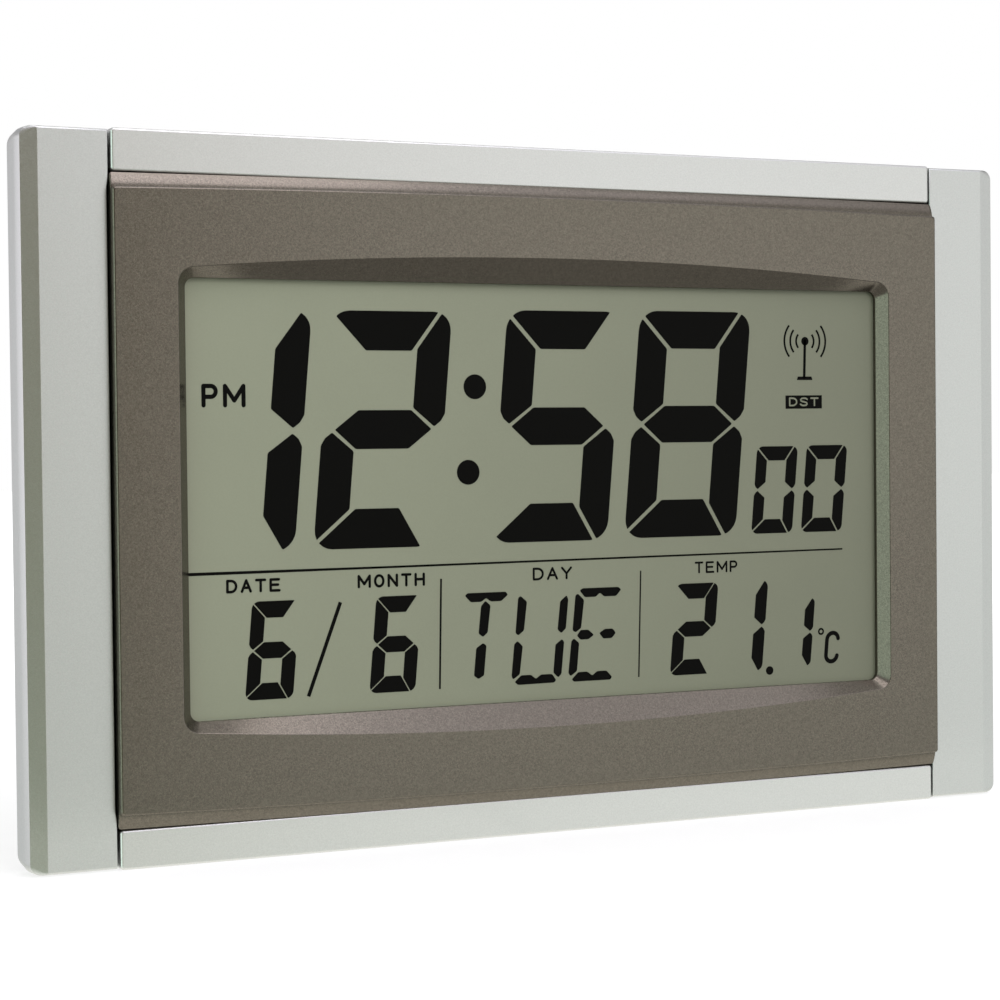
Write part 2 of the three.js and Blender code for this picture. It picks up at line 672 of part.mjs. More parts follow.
function clockCrystal() {
  const y = BOARD_BACK_Y + FIT + CRYSTAL_R;
  const z = BOARD_MID_Z - CRYSTAL_DROP;
  const x1 = CRYSTAL_X + CRYSTAL_LENGTH;
  const leg = (dz) => block(x1 - 0.5, x1 + 2.5, y - 0.3, y + 0.3, z + dz - 0.3, z + dz + 0.3);
  return union([barX(CRYSTAL_R, y, z, CRYSTAL_X, x1), leg(-0.6), leg(0.6)]);
}

// Temperature bead that hangs below the board on two legs.
function temperatureSensor() {
  const x = -BOARD_HALF_X + SENSOR_INSET;
  const y = BOARD_BACK_Y + FIT;
  const z = BOARD_LOW_Z - SENSOR_DROP;
  const bead = new THREE.SphereGeometry(SENSOR_R, 12, 8);
  bead.translate(x, y + 0.4, z);
  const leg = (dx) => block(x + dx - 0.3, x + dx + 0.3, y, y + 0.6, z, BOARD_LOW_Z + 3);
  return union([solid(bead), leg(-0.8), leg(0.8)]);
}

// A pan-head screw with a cross recess, its head facing back and seated at y.
function screw(x, z, y, headR, headH, shankR, length) {
  const body = turned(
    [
      [0, y - length],
      [shankR, y - length + shankR],
      [shankR, y],
      [headR, y],
      [headR, y + headH * 0.5],
      [headR * 0.7, y + headH],
      [0, y + headH],
    ],
    x,
    z,
    SMALL_SIDES,
  );
  const arm = headR * 0.6;
  const half = CROSS_WIDTH / 2;
  const y0 = y + headH * 0.35;
  const y1 = y + headH + 1;
  return cut(body, [
    block(x - arm, x + arm, y0, y1, z - half, z + half),
    block(x - half, x + half, y0, y1, z - arm, z + arm),
  ]);
}

// Housing behind the surround: a plate, a wall that enters the bezel, screw posts and locating ribs.
function frontHousing() {
  const halfX = WIDTH / 2 - HOUSING_INSET;
  const halfZ = MID_Z - HOUSING_INSET / 2;
  const wallX = BEZEL_HALF_X - BEZEL_WALL - FIT;
  const wallZ = BEZEL_HALF_Z - BEZEL_WALL - FIT;
  const wallFront = BEZEL_WALL + 1;
  const back = SURROUND_DEPTH + FIT;
  const bodies = [
    plate(halfX, halfZ, SIDE_CORNER, back, COVER_FRONT_Y),
    cut(plate(wallX, wallZ, BEZEL_CORNER, wallFront, back + 0.5), [
      plate(wallX - HOUSING_WALL, wallZ - HOUSING_WALL, BEZEL_CORNER, 0, back + 1),
    ]),
  ];
  const cuts = [plate(HOUSING_OPENING_X, HOUSING_OPENING_Z, SIDE_CORNER, wallFront, COVER_FRONT_Y + 1)];
  for (const [x, z] of coverScrewPlaces()) {
    bodies.push(barY(SCREW_SHANK_R + FIT + BOSS_WALL, x, z, SURROUND_DEPTH / 2, back + 0.5, SMALL_SIDES));
    cuts.push(barY(SCREW_SHANK_R + FIT, x, z, SURROUND_DEPTH / 2 + 1, COVER_FRONT_Y + 1, SMALL_SIDES));
  }
  const ribHalf = BAR_HEIGHT / 2 - SURROUND_WALL - FIT;
  for (const z of [BAR_HEIGHT / 2, HEIGHT - BAR_HEIGHT / 2])
    for (const x of [-BAR_HALF_X * 0.8, 0, BAR_HALF_X * 0.8])
      bodies.push(block(x - 1, x + 1, SURROUND_DEPTH / 2, back + 0.5, z - ribHalf, z + ribHalf));
  return cut(union(bodies), cuts);
}

// Rear cover.
function coverShell() {
  const at = (inset, y) =>
    ring(roundedOutline(COVER_HALF_X - inset, COVER_HALF_Z - inset, COVER_CORNER - inset / 2), y);
  const front = COVER_FRONT_Y + FIT;
  return skin([
    at(COVER_CHAMFER, REAR_Y),
    at(COVER_CHAMFER * 0.3, REAR_Y - COVER_CHAMFER * 0.3),
    at(0, REAR_Y - COVER_CHAMFER),
    at(0, front),
    at(COVER_WALL, front),
    at(COVER_WALL, COVER_IN_Y - COVER_CHAMFER / 2),
    at(COVER_WALL + COVER_CHAMFER / 2, COVER_IN_Y),
  ]);
}

function bayParts() {
  const wallX = BAY_HALF_X + BAY_WALL;
  const wallZ = BAY_HALF_Z + BAY_WALL;
  const rimX = DOOR_HALF_X + FIT + COVER_WALL;
  const rimZ = DOOR_HALF_Z + FIT + COVER_WALL;
  const swing = Math.hypot(DOOR_THICKNESS - DOOR_PIVOT_DEPTH, DOOR_PIVOT_RISE) - DOOR_PIVOT_RISE;
  const doorLow = BAY_Z - DOOR_HALF_Z - swing - FIT;
  const adds = [
    block(BAY_X - wallX, BAY_X + wallX, BAY_FRONT_Y, COVER_IN_Y + 0.5, BAY_Z - wallZ, BAY_Z + wallZ),
    block(BAY_X - rimX, BAY_X + rimX, COVER_IN_Y - COVER_WALL, COVER_IN_Y + 0.5, doorLow - COVER_WALL, BAY_Z + rimZ),
  ];
  const past = REAR_Y + 1;
  const cuts = [
    block(BAY_X - BAY_HALF_X, BAY_X + BAY_HALF_X, BAY_FLOOR_Y, past, BAY_Z - BAY_HALF_Z, BAY_Z + BAY_HALF_Z),
    block(
      BAY_X - DOOR_HALF_X - FIT,
      BAY_X + DOOR_HALF_X + FIT,
      DOOR_Y - FIT,
      past,
      doorLow,
      BAY_Z + DOOR_HALF_Z + FIT,
    ),
    block(
      BAY_X - DOOR_HALF_X - FIT,
      BAY_X + DOOR_HALF_X + FIT,
      DOOR_Y - swing - 2 * FIT,
      past,
      doorLow,
      BAY_Z - BAY_HALF_Z + FIT,
    ),
  ];
  const tabSweep = Math.hypot(doorTabDepth() + DOOR_TAB_THICKNESS, DOOR_TAB_REACH + DOOR_PIVOT_RISE);
  for (const side of [-1, 1]) {
    const x = BAY_X + side * DOOR_TAB_SPREAD;
    const half = DOOR_TAB_WIDTH / 2 + FIT;
    const pivotY = REAR_Y - DOOR_PIVOT_DEPTH;
    const low = BAY_Z - DOOR_HALF_Z - DOOR_TAB_REACH - FIT;
    cuts.push(
      block(x - half, x + half, pivotY - tabSweep - FIT, DOOR_Y - FIT, low, BAY_Z - BAY_HALF_Z + FIT),
    );
  }
  const slotHalf = TAG_SLOT / 2;
  const wallOut = BAY_X + wallX + 1;
  for (const z of [BAY_Z - CELL_PITCH / 2, BAY_Z + CELL_PITCH / 2])
    cuts.push(
      block(BAY_X + BAY_HALF_X - 1, wallOut, CELL_Y - slotHalf, CELL_Y + slotHalf, z - slotHalf, z + slotHalf),
    );
  return { adds, cuts };
}

// Depth of the door's hooks below its pivot, measured to their near face.
function doorTabDepth() {
  return DOOR_THICKNESS - DOOR_PIVOT_DEPTH + FIT * 2;
}

const standLow = () => STAND_PIVOT_Z - STAND_THICKNESS / 2;
const standTop = () => STAND_PIVOT_Z + STAND_LENGTH;

function standPocketParts() {
  const halfX = STAND_HALF_X + 2 * FIT;
  const low = standLow() - 1;
  const top = standTop() + 2 * FIT;
  const floorIn = POCKET_FLOOR_Y - POCKET_FLOOR;
  const fingerTop = top + FINGER_R;
  const inner = COVER_INSET_Z + 1;
  const pinR = STAND_PIN_R + FIT;
  return {
    adds: [
      block(-halfX - POCKET_WALL, halfX + POCKET_WALL, floorIn, COVER_IN_Y + 0.5, inner, top + COVER_WALL),
      block(-FINGER_R - COVER_WALL, FINGER_R + COVER_WALL, floorIn, COVER_IN_Y + 0.5, top, fingerTop + COVER_WALL),
    ],
    cuts: [
      block(-halfX, halfX, POCKET_FLOOR_Y, REAR_Y + 1, low, top),
      barY(FINGER_R, 0, top, POCKET_FLOOR_Y, REAR_Y + 1, FINE_SIDES),
      barX(pinR, STAND_PIVOT_Y, STAND_PIVOT_Z, -halfX - POCKET_WALL - 1, halfX + POCKET_WALL + 1),
    ],
  };
}

function hangingSlotParts() {
  const half = HANG_HEAD_R + HANG_POCKET_MARGIN;
  const pocketY = COVER_IN_Y - HANG_POCKET_DEPTH;
  const low = HANG_Z - half;
  const top = HANG_Z + HANG_SLOT_RISE + HANG_POCKET_MARGIN;
  const wall = BAY_WALL;
  return {
    adds: [block(-half - wall, half + wall, pocketY - wall, COVER_IN_Y + 0.5, low - wall, top + wall)],
    cuts: [
      block(-half, half, pocketY, COVER_IN_Y, low, top),
      barY(HANG_HEAD_R, 0, HANG_Z, pocketY, REAR_Y + 1),
      barY(HANG_SLOT_R, 0, HANG_Z + HANG_SLOT_RISE, COVER_IN_Y - 1, REAR_Y + 1),
      block(-HANG_SLOT_R, HANG_SLOT_R, COVER_IN_Y - 1, REAR_Y + 1, HANG_Z, HANG_Z + HANG_SLOT_RISE),
    ],
  };
}

function buttonPanelParts() {
  const halfX = ((BUTTON_COUNT - 1) * BUTTON_PITCH) / 2 + PANEL_MARGIN;
  const hole = BUTTON_R + FIT;
  const back = plate(halfX + 1, PANEL_MARGIN + 1, 2, PANEL_IN_Y, COVER_IN_Y + 0.5, BUTTON_X, BUTTON_Z);
  const cuts = [plate(halfX, PANEL_MARGIN, 2, PANEL_Y, REAR_Y + 1, BUTTON_X, BUTTON_Z)];
  for (let i = 0; i < BUTTON_COUNT; i++)
    cuts.push(barY(hole, buttonX(i), BUTTON_Z, PANEL_IN_Y - 1, REAR_Y + 1));
  return { adds: [back], cuts };
}

function coverScrewParts() {
  const adds = [];
  const cuts = [];
  for (const [x, z] of coverScrewPlaces()) {
    adds.push(barY(COVER_BOSS_R, x, z, COVER_FRONT_Y + FIT, COVER_IN_Y + 0.5));
    cuts.push(barY(SCREW_SHANK_R + FIT, x, z, COVER_FRONT_Y - 1, REAR_Y + 1, SMALL_SIDES));
    cuts.push(barY(SCREW_HEAD_R + FIT, x, z, COVER_SCREW_SEAT_Y, REAR_Y + 1));
  }
  return { adds, cuts };
}

function footBlocks() {
  const top = COVER_INSET_Z + 1;
  const y0 = COVER_FRONT_Y + FOOT_SETBACK - FOOT_BLOCK_MARGIN;
  const y1 = y0 + FOOT_WIDTH + 2 * FOOT_BLOCK_MARGIN;
  return [-1, 1].map((side) => {
    const x = side * FOOT_X;
    const half = FOOT_LENGTH / 2 + 2 * FOOT_BLOCK_MARGIN;
    return block(x - half, x + half, y0, y1, FOOT_HEIGHT + FIT, top);
  });
}

function vents() {
  const x = -COVER_HALF_X + VENT_INSET;
  const z = BOARD_LOW_Z - VENT_DROP;
  return Array.from({ length: VENT_COUNT }, (unused, i) => {
    const low = z - i * VENT_PITCH;
    return block(x, x + VENT_LENGTH, COVER_IN_Y - 1, REAR_Y + 1, low, low + VENT_WIDTH);
  });
}

function receiverPosts() {
  return [-1, 1].map((side) => {
    const x = RECEIVER_X + side * (RECEIVER_WIDTH / 2 - RECEIVER_POST_INSET);
    const z = RECEIVER_Z + side * (RECEIVER_HEIGHT / 2 - RECEIVER_POST_INSET);
    return barY(RECEIVER_POST_R, x, z, RECEIVER_BACK_Y + FIT, COVER_IN_Y + 0.5, 12);
  });
}

function rearCover() {
  const groups = [bayParts(), standPocketParts(), hangingSlotParts(), buttonPanelParts(), coverScrewParts()];
  const adds = groups.flatMap((group) => group.adds);
  const cuts = groups.flatMap((group) => group.cuts);
  const whole = union([coverShell(), ...adds, ...footBlocks(), ...receiverPosts()]);
  return cut(whole, [...cuts, ...vents()]);
}

// Battery door: a plate with two hooks along its lower edge and a thumb hollow at its top.
function batteryDoor() {
  const low = BAY_Z - DOOR_HALF_Z;
  const top = BAY_Z + DOOR_HALF_Z;
  const bodies = [block(BAY_X - DOOR_HALF_X, BAY_X + DOOR_HALF_X, DOOR_Y, REAR_Y, low, top)];
  const near = REAR_Y - DOOR_PIVOT_DEPTH - doorTabDepth();
  for (const side of [-1, 1]) {
    const x = BAY_X + side * DOOR_TAB_SPREAD;
    const half = DOOR_TAB_WIDTH / 2;
    const root = low + DOOR_LEDGE - FIT;
    bodies.push(block(x - half, x + half, near - DOOR_TAB_THICKNESS, near, low - DOOR_TAB_REACH, root));
    bodies.push(block(x - half, x + half, near - 0.2, DOOR_Y + 0.2, low + 0.2, root));
  }
  const thumb = barY(THUMB_R, BAY_X, top, REAR_Y - DOOR_THICKNESS / 2, REAR_Y + 1, FINE_SIDES);
  return cut(union(bodies), [thumb]);
}

// Stand: a flap with a round lower edge and a pin at each side of it.
function stand() {
  const mid = standTop() - (standTop() - STAND_PIVOT_Z) / 2;
  const y0 = STAND_PIVOT_Y - STAND_THICKNESS / 2;
  const y1 = STAND_PIVOT_Y + STAND_THICKNESS / 2;
  const flap = plate(STAND_HALF_X, STAND_LENGTH / 2, STAND_CORNER, y0, y1, 0, mid);
  const foot = block(-STAND_HALF_X, STAND_HALF_X, y0, y1, STAND_PIVOT_Z, STAND_PIVOT_Z + STAND_CORNER);
  const roll = barX(STAND_THICKNESS / 2, STAND_PIVOT_Y, STAND_PIVOT_Z, -STAND_HALF_X, STAND_HALF_X);
  const reach = STAND_HALF_X + STAND_PIN_REACH;
  const pins = barX(STAND_PIN_R, STAND_PIVOT_Y, STAND_PIVOT_Z, -reach, reach);
  const ribGap = STAND_HALF_X / 3;
  const grooves = [-1, 0, 1].map((i) =>
    plate(ribGap * 0.36, STAND_LENGTH * 0.3, 2, y0 - 1, y0 + 1, i * ribGap * 1.6, mid + 3),
  );
  return cut(union([flap, foot, roll, pins]), grooves);
}

function button(x) {
  const front = BOARD_BACK_Y + FIT + SWITCH_HEIGHT + 1 + BUTTON_TRAVEL + 0.1;
  const flangeTop = PANEL_IN_Y - FIT;
  const top = REAR_Y - BUTTON_SINK;
  const flangeR = BUTTON_R + BUTTON_FLANGE;
  return turned(
    [
      [0, front],
      [BUTTON_STEM_R, front],
      [BUTTON_STEM_R, flangeTop - BUTTON_FLANGE_H],
      [flangeR, flangeTop - BUTTON_FLANGE_H],
      [flangeR, flangeTop],
      [BUTTON_R, flangeTop],
      [BUTTON_R, top - 0.4],
      [BUTTON_R - 0.5, top],
      [0, top],
    ],
    x,
    BUTTON_Z,
  );
}

function rubberFoot(side) {
  const x = side * FOOT_X;
  const half = FOOT_LENGTH / 2;
  const y0 = COVER_FRONT_Y + FOOT_SETBACK;
  return block(x - half, x + half, y0, y0 + FOOT_WIDTH, 0, FOOT_HEIGHT);
}

// An AA cell along x, its positive end at +x when facing is 1.
function cell(z, facing) {
  const half = CELL_LENGTH / 2;
  const edge = 0.6;
  const profile = [
    [0, -half],
    [CELL_RADIUS - edge, -half],
    [CELL_RADIUS, -half + edge],
    [CELL_RADIUS, half - CELL_NUB - edge],
    [CELL_RADIUS - edge, half - CELL_NUB],
    [CELL_NUB_R, half - CELL_NUB],
    [CELL_NUB_R, half],
    [0, half],
  ];
  const points = profile.map(([radius, y]) => new THREE.Vector2(radius, y));
  const lathe = new THREE.LatheGeometry(points, FINE_SIDES);
  lathe.rotateZ((-facing * Math.PI) / 2);
  lathe.translate(BAY_X, CELL_Y, z);
  return solid(lathe);
}

// Tapered coil about an x axis, from its wide end at x0 to its narrow end at x1.
class TaperedCoil extends THREE.Curve {
  constructor(x0, x1, z) {
    super();
    Object.assign(this, { x0, x1, z });
  }
  getPoint(t, target = new THREE.Vector3()) {
    const angle = 2 * Math.PI * SPRING_TURNS * t;
    const radius = CELL_RADIUS * (0.62 - 0.3 * t);
    const x = this.x0 + (this.x1 - this.x0) * t;
    return target.set(x, CELL_Y + radius * Math.cos(angle), this.z + radius * Math.sin(angle));
  }
}

function spring(x0, x1, z) {
  return tube(new TaperedCoil(x0, x1, z), SPRING_WIRE_R, SPRING_TURNS * 8, 5);
}

const cellEnd = CELL_LENGTH / 2;
const plateX = BAY_HALF_X - FIT - CONTACT_THICKNESS;

// Contact plate at one end of the bay, from z0 to z1, with an optional tag through the wall at tagZ.
function contactPlate(side, z0, z1, tagZ) {
  const inX = BAY_X + side * plateX;
  const outX = BAY_X + side * (plateX + CONTACT_THICKNESS);
  const tall = CELL_RADIUS - 1.5;
  const bodies = [
    block(Math.min(inX, outX), Math.max(inX, outX), CELL_Y - tall, CELL_Y + tall, z0, z1),
  ];
  if (tagZ !== undefined) {
    const end = outX + BAY_WALL + TAG_REACH;
    const half = TAG_WIDTH / 2;
    bodies.push(block(outX - 0.2, end, CELL_Y - 0.3, CELL_Y + 0.3, tagZ - half, tagZ + half));
  }
  return union(bodies);
}

// A raised contact that meets a cell's positive nub.
function contactNub(side, z) {
  const from = BAY_X + side * plateX;
  const to = BAY_X + side * (cellEnd + FIT);
  return barX(CELL_NUB_R * 0.8, CELL_Y, z, Math.min(from - 0.1, to), Math.max(from + 0.1, to), 12);
}

const lowCellZ = BAY_Z - CELL_PITCH / 2;
const highCellZ = BAY_Z + CELL_PITCH / 2;
const plateHalf = CELL_RADIUS - 1;

function batteryLink() {
  const coil = spring(BAY_X - plateX - 0.1, BAY_X - cellEnd - FIT - SPRING_WIRE_R, highCellZ);
  return union([contactPlate(-1, lowCellZ - plateHalf, highCellZ + plateHalf), contactNub(-1, lowCellZ), coil]);
}

function negativeContact() {
  const coil = spring(BAY_X + plateX + 0.1, BAY_X + cellEnd + FIT + SPRING_WIRE_R, lowCellZ);
  return union([contactPlate(1, lowCellZ - plateHalf, lowCellZ + plateHalf, lowCellZ), coil]);
}

function positiveContact() {
  const strip = contactPlate(1, highCellZ - plateHalf, highCellZ + plateHalf, highCellZ);
  return union([strip, contactNub(1, highCellZ)]);
}

// Receiver: a ferrite rod with its winding, held by two clips under the rear wall.
function ferriteRod() {
  return barX(ROD_RADIUS, ROD_Y, ROD_Z, ROD_X - ROD_LENGTH / 2, ROD_X + ROD_LENGTH / 2);
}

function sleeve(x0, x1, innerR, outerR) {
  return cut(barX(outerR, ROD_Y, ROD_Z, x0, x1), [barX(innerR, ROD_Y, ROD_Z, x0 - 1, x1 + 1)]);
}

function antennaCoil() {
  const inner = ROD_RADIUS + FIT;
  return sleeve(ROD_X - COIL_LENGTH / 2, ROD_X + COIL_LENGTH / 2, inner, inner + COIL_WALL);
}

function antennaClip(side) {
  const x = ROD_X + side * (ROD_LENGTH / 2 - CLIP_WIDTH - 1);
  const x0 = x - CLIP_WIDTH / 2;
  const x1 = x + CLIP_WIDTH / 2;
  const inner = ROD_RADIUS + FIT;
  const foot = block(
    x0,
    x1,
    ROD_Y + inner + CLIP_WALL / 2,
    COVER_IN_Y - FIT,
    ROD_Z - CLIP_FOOT_HALF,
    ROD_Z + CLIP_FOOT_HALF,
  );
  return union([sleeve(x0, x1, inner, inner + CLIP_WALL), foot]);
}

function receiverBoard() {
  const front = RECEIVER_BACK_Y - RECEIVER_THICKNESS;
  const halfX = RECEIVER_WIDTH / 2;
  const halfZ = RECEIVER_HEIGHT / 2;
  return block(
    RECEIVER_X - halfX,
    RECEIVER_X + halfX,
    front,
    RECEIVER_BACK_Y,
    RECEIVER_Z - halfZ,
    RECEIVER_Z + halfZ,
  );
}

function receiverChip() {
  const back = RECEIVER_BACK_Y - RECEIVER_THICKNESS - FIT;
  const halfX = RECEIVER_CHIP_X / 2;
  const halfZ = RECEIVER_CHIP_Z / 2;
  return block(
    RECEIVER_X - halfX,
    RECEIVER_X + halfX,
    back - RECEIVER_CHIP_Y,
    back,
    RECEIVER_Z - halfZ,
    RECEIVER_Z + halfZ,
  );
}

function lead(points, steps) {
  const curve = new THREE.CatmullRomCurve3(points.map(([x, y, z]) => new THREE.Vector3(x, y, z)));
  return tube(curve, LEAD_R, steps, LEAD_SIDES);
}

const tagEndX = BAY_X + plateX + CONTACT_THICKNESS + BAY_WALL + TAG_REACH;
const solderY = BOARD_BACK_Y + FIT;

function positiveLead() {
  const x = tagEndX + FIT;
  return lead(
    [
      [x, CELL_Y, highCellZ],
      [x + LEAD_BEND, CELL_Y, highCellZ],
      [x + LEAD_BEND, CELL_Y - LEAD_BEND / 2, highCellZ + 4 * LEAD_BEND],
      [x - 1.5 * LEAD_BEND, BOARD_BACK_Y + 3 * LEAD_BEND, BOARD_LOW_Z + LEAD_BEND / 2],
      [x - 3.5 * LEAD_BEND, BOARD_BACK_Y + 1.5 * LEAD_BEND, BOARD_LOW_Z + 3 * LEAD_BEND],
      [x - 3.75 * LEAD_BEND, solderY, BOARD_LOW_Z + 3.5 * LEAD_BEND],
    ],
    20,
  );
}

function negativeLead() {
  const x = tagEndX + FIT;
  return lead(
    [
      [x, CELL_Y, lowCellZ],
      [x + 1.25 * LEAD_BEND, CELL_Y, lowCellZ],
      [x + 3 * LEAD_BEND, CELL_Y - LEAD_BEND / 2, BAY_Z],
      [x + 3 * LEAD_BEND, CELL_Y - LEAD_BEND, BOARD_LOW_Z - 2 * LEAD_BEND],
      [x + 2 * LEAD_BEND, BOARD_BACK_Y + 2 * LEAD_BEND, BOARD_LOW_Z + 2 * LEAD_BEND],
      [x + LEAD_BEND, BOARD_BACK_Y + LEAD_BEND, BOARD_LOW_Z + 4 * LEAD_BEND],
      [x + LEAD_BEND, solderY, BOARD_LOW_Z + 4.25 * LEAD_BEND],
    ],
    24,
  );
}

// Runs from the receiver board past the inner side of the battery bay to the main board.
function receiverLead() {
  const y = RECEIVER_BACK_Y - RECEIVER_THICKNESS / 2;
  const x = RECEIVER_X - RECEIVER_WIDTH / 2 - FIT;
  const bypass = BAY_X - DOOR_HALF_X - COVER_WALL - 3 * LEAD_BEND;
  const bayLow = BAY_Z - DOOR_HALF_Z;
  return lead(
    [
      [x, y, RECEIVER_Z + 2 * LEAD_BEND],
      [x - 2 * LEAD_BEND, y - LEAD_BEND / 4, RECEIVER_Z + 2 * LEAD_BEND],
      [(x + bypass) / 2, CELL_Y - LEAD_BEND / 2, (RECEIVER_Z + bayLow) / 2],
      [bypass, CELL_Y, bayLow],
      [bypass - LEAD_BEND, CELL_Y - LEAD_BEND, BAY_Z + DOOR_HALF_Z],
      [bypass - 2 * LEAD_BEND, BOARD_BACK_Y + 2 * LEAD_BEND, BOARD_LOW_Z + 2 * LEAD_BEND],
      [bypass - 2.5 * LEAD_BEND, BOARD_BACK_Y + LEAD_BEND, BOARD_LOW_Z + 4 * LEAD_BEND],
      [bypass - 2.5 * LEAD_BEND, solderY, BOARD_LOW_Z + 4.25 * LEAD_BEND],
    ],
    30,
  );
}

function antennaLead() {
  const coilTop = ROD_Z + ROD_RADIUS + FIT + COIL_WALL + FIT;
  const y = RECEIVER_BACK_Y - RECEIVER_THICKNESS / 2;
  const boardLow = RECEIVER_Z - RECEIVER_HEIGHT / 2;
  return lead(
    [
      [ROD_X - 2 * LEAD_BEND, ROD_Y, coilTop],
      [ROD_X - 2 * LEAD_BEND, ROD_Y, coilTop + 1.5 * LEAD_BEND],
      [ROD_X - 3.5 * LEAD_BEND, ROD_Y + LEAD_BEND / 2, coilTop + 4 * LEAD_BEND],
      [ROD_X - 4 * LEAD_BEND, y, boardLow - 1.5 * LEAD_BEND],
      [ROD_X - 4 * LEAD_BEND, y, boardLow - FIT],
    ],
    14,
  );
}

piece("bezel", bezel(), bronze());
piece("left_side_panel", sidePanel(-1), silver());
piece("right_side_panel", sidePanel(1), silver());
piece("top_bar", barShell(HEIGHT - BAR_HEIGHT), silver());
piece("bottom_bar", barShell(0), silver());
piece("front_housing", frontHousing(), blackPlastic());
piece("display_glass", displayGlassPlates(), displayGlass());
piece("display_reflector", reflector(), foil());
piece("display_holder", displayHolder(), whitePlastic());
piece("contact_strip", zebra(), pinkRubber());
piece("main_board", mainBoard(), circuitGreen());
piece("controller_chip", controllerChip(), blackPlastic());
piece("clock_crystal", clockCrystal(), steel());
piece("temperature_sensor", temperatureSensor(), blackPlastic());
piece("rear_cover", rearCover(), greyPlastic());
piece("battery_door", batteryDoor(), greyPlastic());
piece("stand", stand(), greyPlastic());
piece("left_rear_foot", rubberFoot(-1), rubber());
piece("right_rear_foot", rubberFoot(1), rubber());
BUTTON_NAMES.forEach((name, i) => {
  piece(`${name}_button`, button(buttonX(i)), blackPlastic());
  piece(`${name}_switch`, tactSwitch(buttonX(i)), steel());
});
coverScrewPlaces().forEach(([x, z], i) => {
  const length = COVER_SCREW_SEAT_Y + FIT - SURROUND_DEPTH / 2 - 2;
  const body = screw(x, z, COVER_SCREW_SEAT_Y + FIT, SCREW_HEAD_R, SCREW_HEAD_H, SCREW_SHANK_R, length);
  piece(`cover_screw_${i + 1}`, body, steel());
});
holderScrewPlaces().forEach(([x, z], i) => {
  const body = screw(x, z, HOLDER_BACK_Y + FIT, SMALL_HEAD_R, SMALL_HEAD_H, SMALL_SHANK_R, HOLDER_SCREW_LENGTH);
  piece(`holder_screw_${i + 1}`, body, steel());
});
boardScrewPlaces().forEach(([x, z], i) => {
  const body = screw(x, z, BOARD_BACK_Y + FIT, SMALL_HEAD_R, SMALL_HEAD_H, SMALL_SHANK_R, BOARD_SCREW_LENGTH);
  piece(`board_screw_${i + 1}`, body, steel());
});
piece("upper_cell", cell(highCellZ, 1), cellWrap());
piece("lower_cell", cell(lowCellZ, -1), cellWrap());
piece("battery_link", batteryLink(), steel());
piece("negative_contact", negativeContact(), steel());
piece("positive_contact", positiveContact(), steel());
piece("ferrite_rod", ferriteRod(), ferrite());
piece("antenna_coil", antennaCoil(), copper());
piece("left_antenna_clip", antennaClip(-1), whitePlastic());
piece("right_antenna_clip", antennaClip(1), whitePlastic());
piece("receiver_board", receiverBoard(), circuitGreen());
piece("receiver_chip", receiverChip(), blackPlastic());
piece("positive_lead", positiveLead(), redPlastic());
piece("negative_lead", negativeLead(), blackPlastic());
piece("receiver_lead", receiverLead(), greyPlastic());
piece("antenna_lead", antennaLead(), copper());

export default clock;
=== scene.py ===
"""Looks of a large digital clock for a desk or a wall: silver surround, bronze bezel, arched recess and a display."""

import math

import bmesh
import bpy
import numpy as np
from bpy.props import FloatProperty, FloatVectorProperty, PointerProperty
from bpy.types import Operator, Panel, PropertyGroup
from mathutils import Matrix, Vector


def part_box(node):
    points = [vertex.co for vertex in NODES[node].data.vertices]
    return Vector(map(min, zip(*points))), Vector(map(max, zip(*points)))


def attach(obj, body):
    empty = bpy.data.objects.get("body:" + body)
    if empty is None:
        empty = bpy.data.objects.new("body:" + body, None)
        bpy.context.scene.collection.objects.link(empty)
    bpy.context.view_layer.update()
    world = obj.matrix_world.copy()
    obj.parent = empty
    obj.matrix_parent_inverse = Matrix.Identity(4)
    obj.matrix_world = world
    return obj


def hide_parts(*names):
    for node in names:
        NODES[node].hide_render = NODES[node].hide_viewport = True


bl_info = {
    "name": "Digital clock",
    "version": (1, 0, 0),
    "blender": (4, 5, 0),
    "location": "3D view, sidebar, Clock",
    "description": "Builds the looks of a large digital clock round its fixed frame",
    "category": "Object",
}

MM = 0.001
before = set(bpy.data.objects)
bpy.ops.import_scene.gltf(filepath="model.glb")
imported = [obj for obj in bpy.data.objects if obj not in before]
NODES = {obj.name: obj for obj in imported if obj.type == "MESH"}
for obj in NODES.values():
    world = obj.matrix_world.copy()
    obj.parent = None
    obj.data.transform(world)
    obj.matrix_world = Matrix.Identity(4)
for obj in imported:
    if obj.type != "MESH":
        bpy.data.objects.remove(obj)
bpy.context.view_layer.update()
BUTTONS = ("set", "plus", "minus", "unit", "wave")
FEET = ("left_rear_foot", "right_rear_foot")


# Properties ------------------------------


def linear(red, green, blue):
    """A colour of 0 to 255 in each channel, as the screen shows it, in linear light."""
    value = np.array([red, green, blue]) / 255
    return tuple(np.where(value <= 0.04045, value / 12.92, ((value + 0.055) / 1.055) ** 2.4).tolist())


def quantity(name, description, value, **kind):
    return FloatProperty(name=name, description=description, default=value, **kind)


def length(name, description, millimetres):
    return quantity(name, description, millimetres * MM, min=0, precision=5, subtype="DISTANCE", unit="LENGTH")


def tilt(name, description, degrees):
    return quantity(name, description, math.radians(degrees), subtype="ANGLE")


def tint(name, description, *channels):
    colour = linear(*channels)
    return FloatVectorProperty(
        name=name, description=description, default=colour, min=0, max=1, size=3, subtype="COLOR"
    )


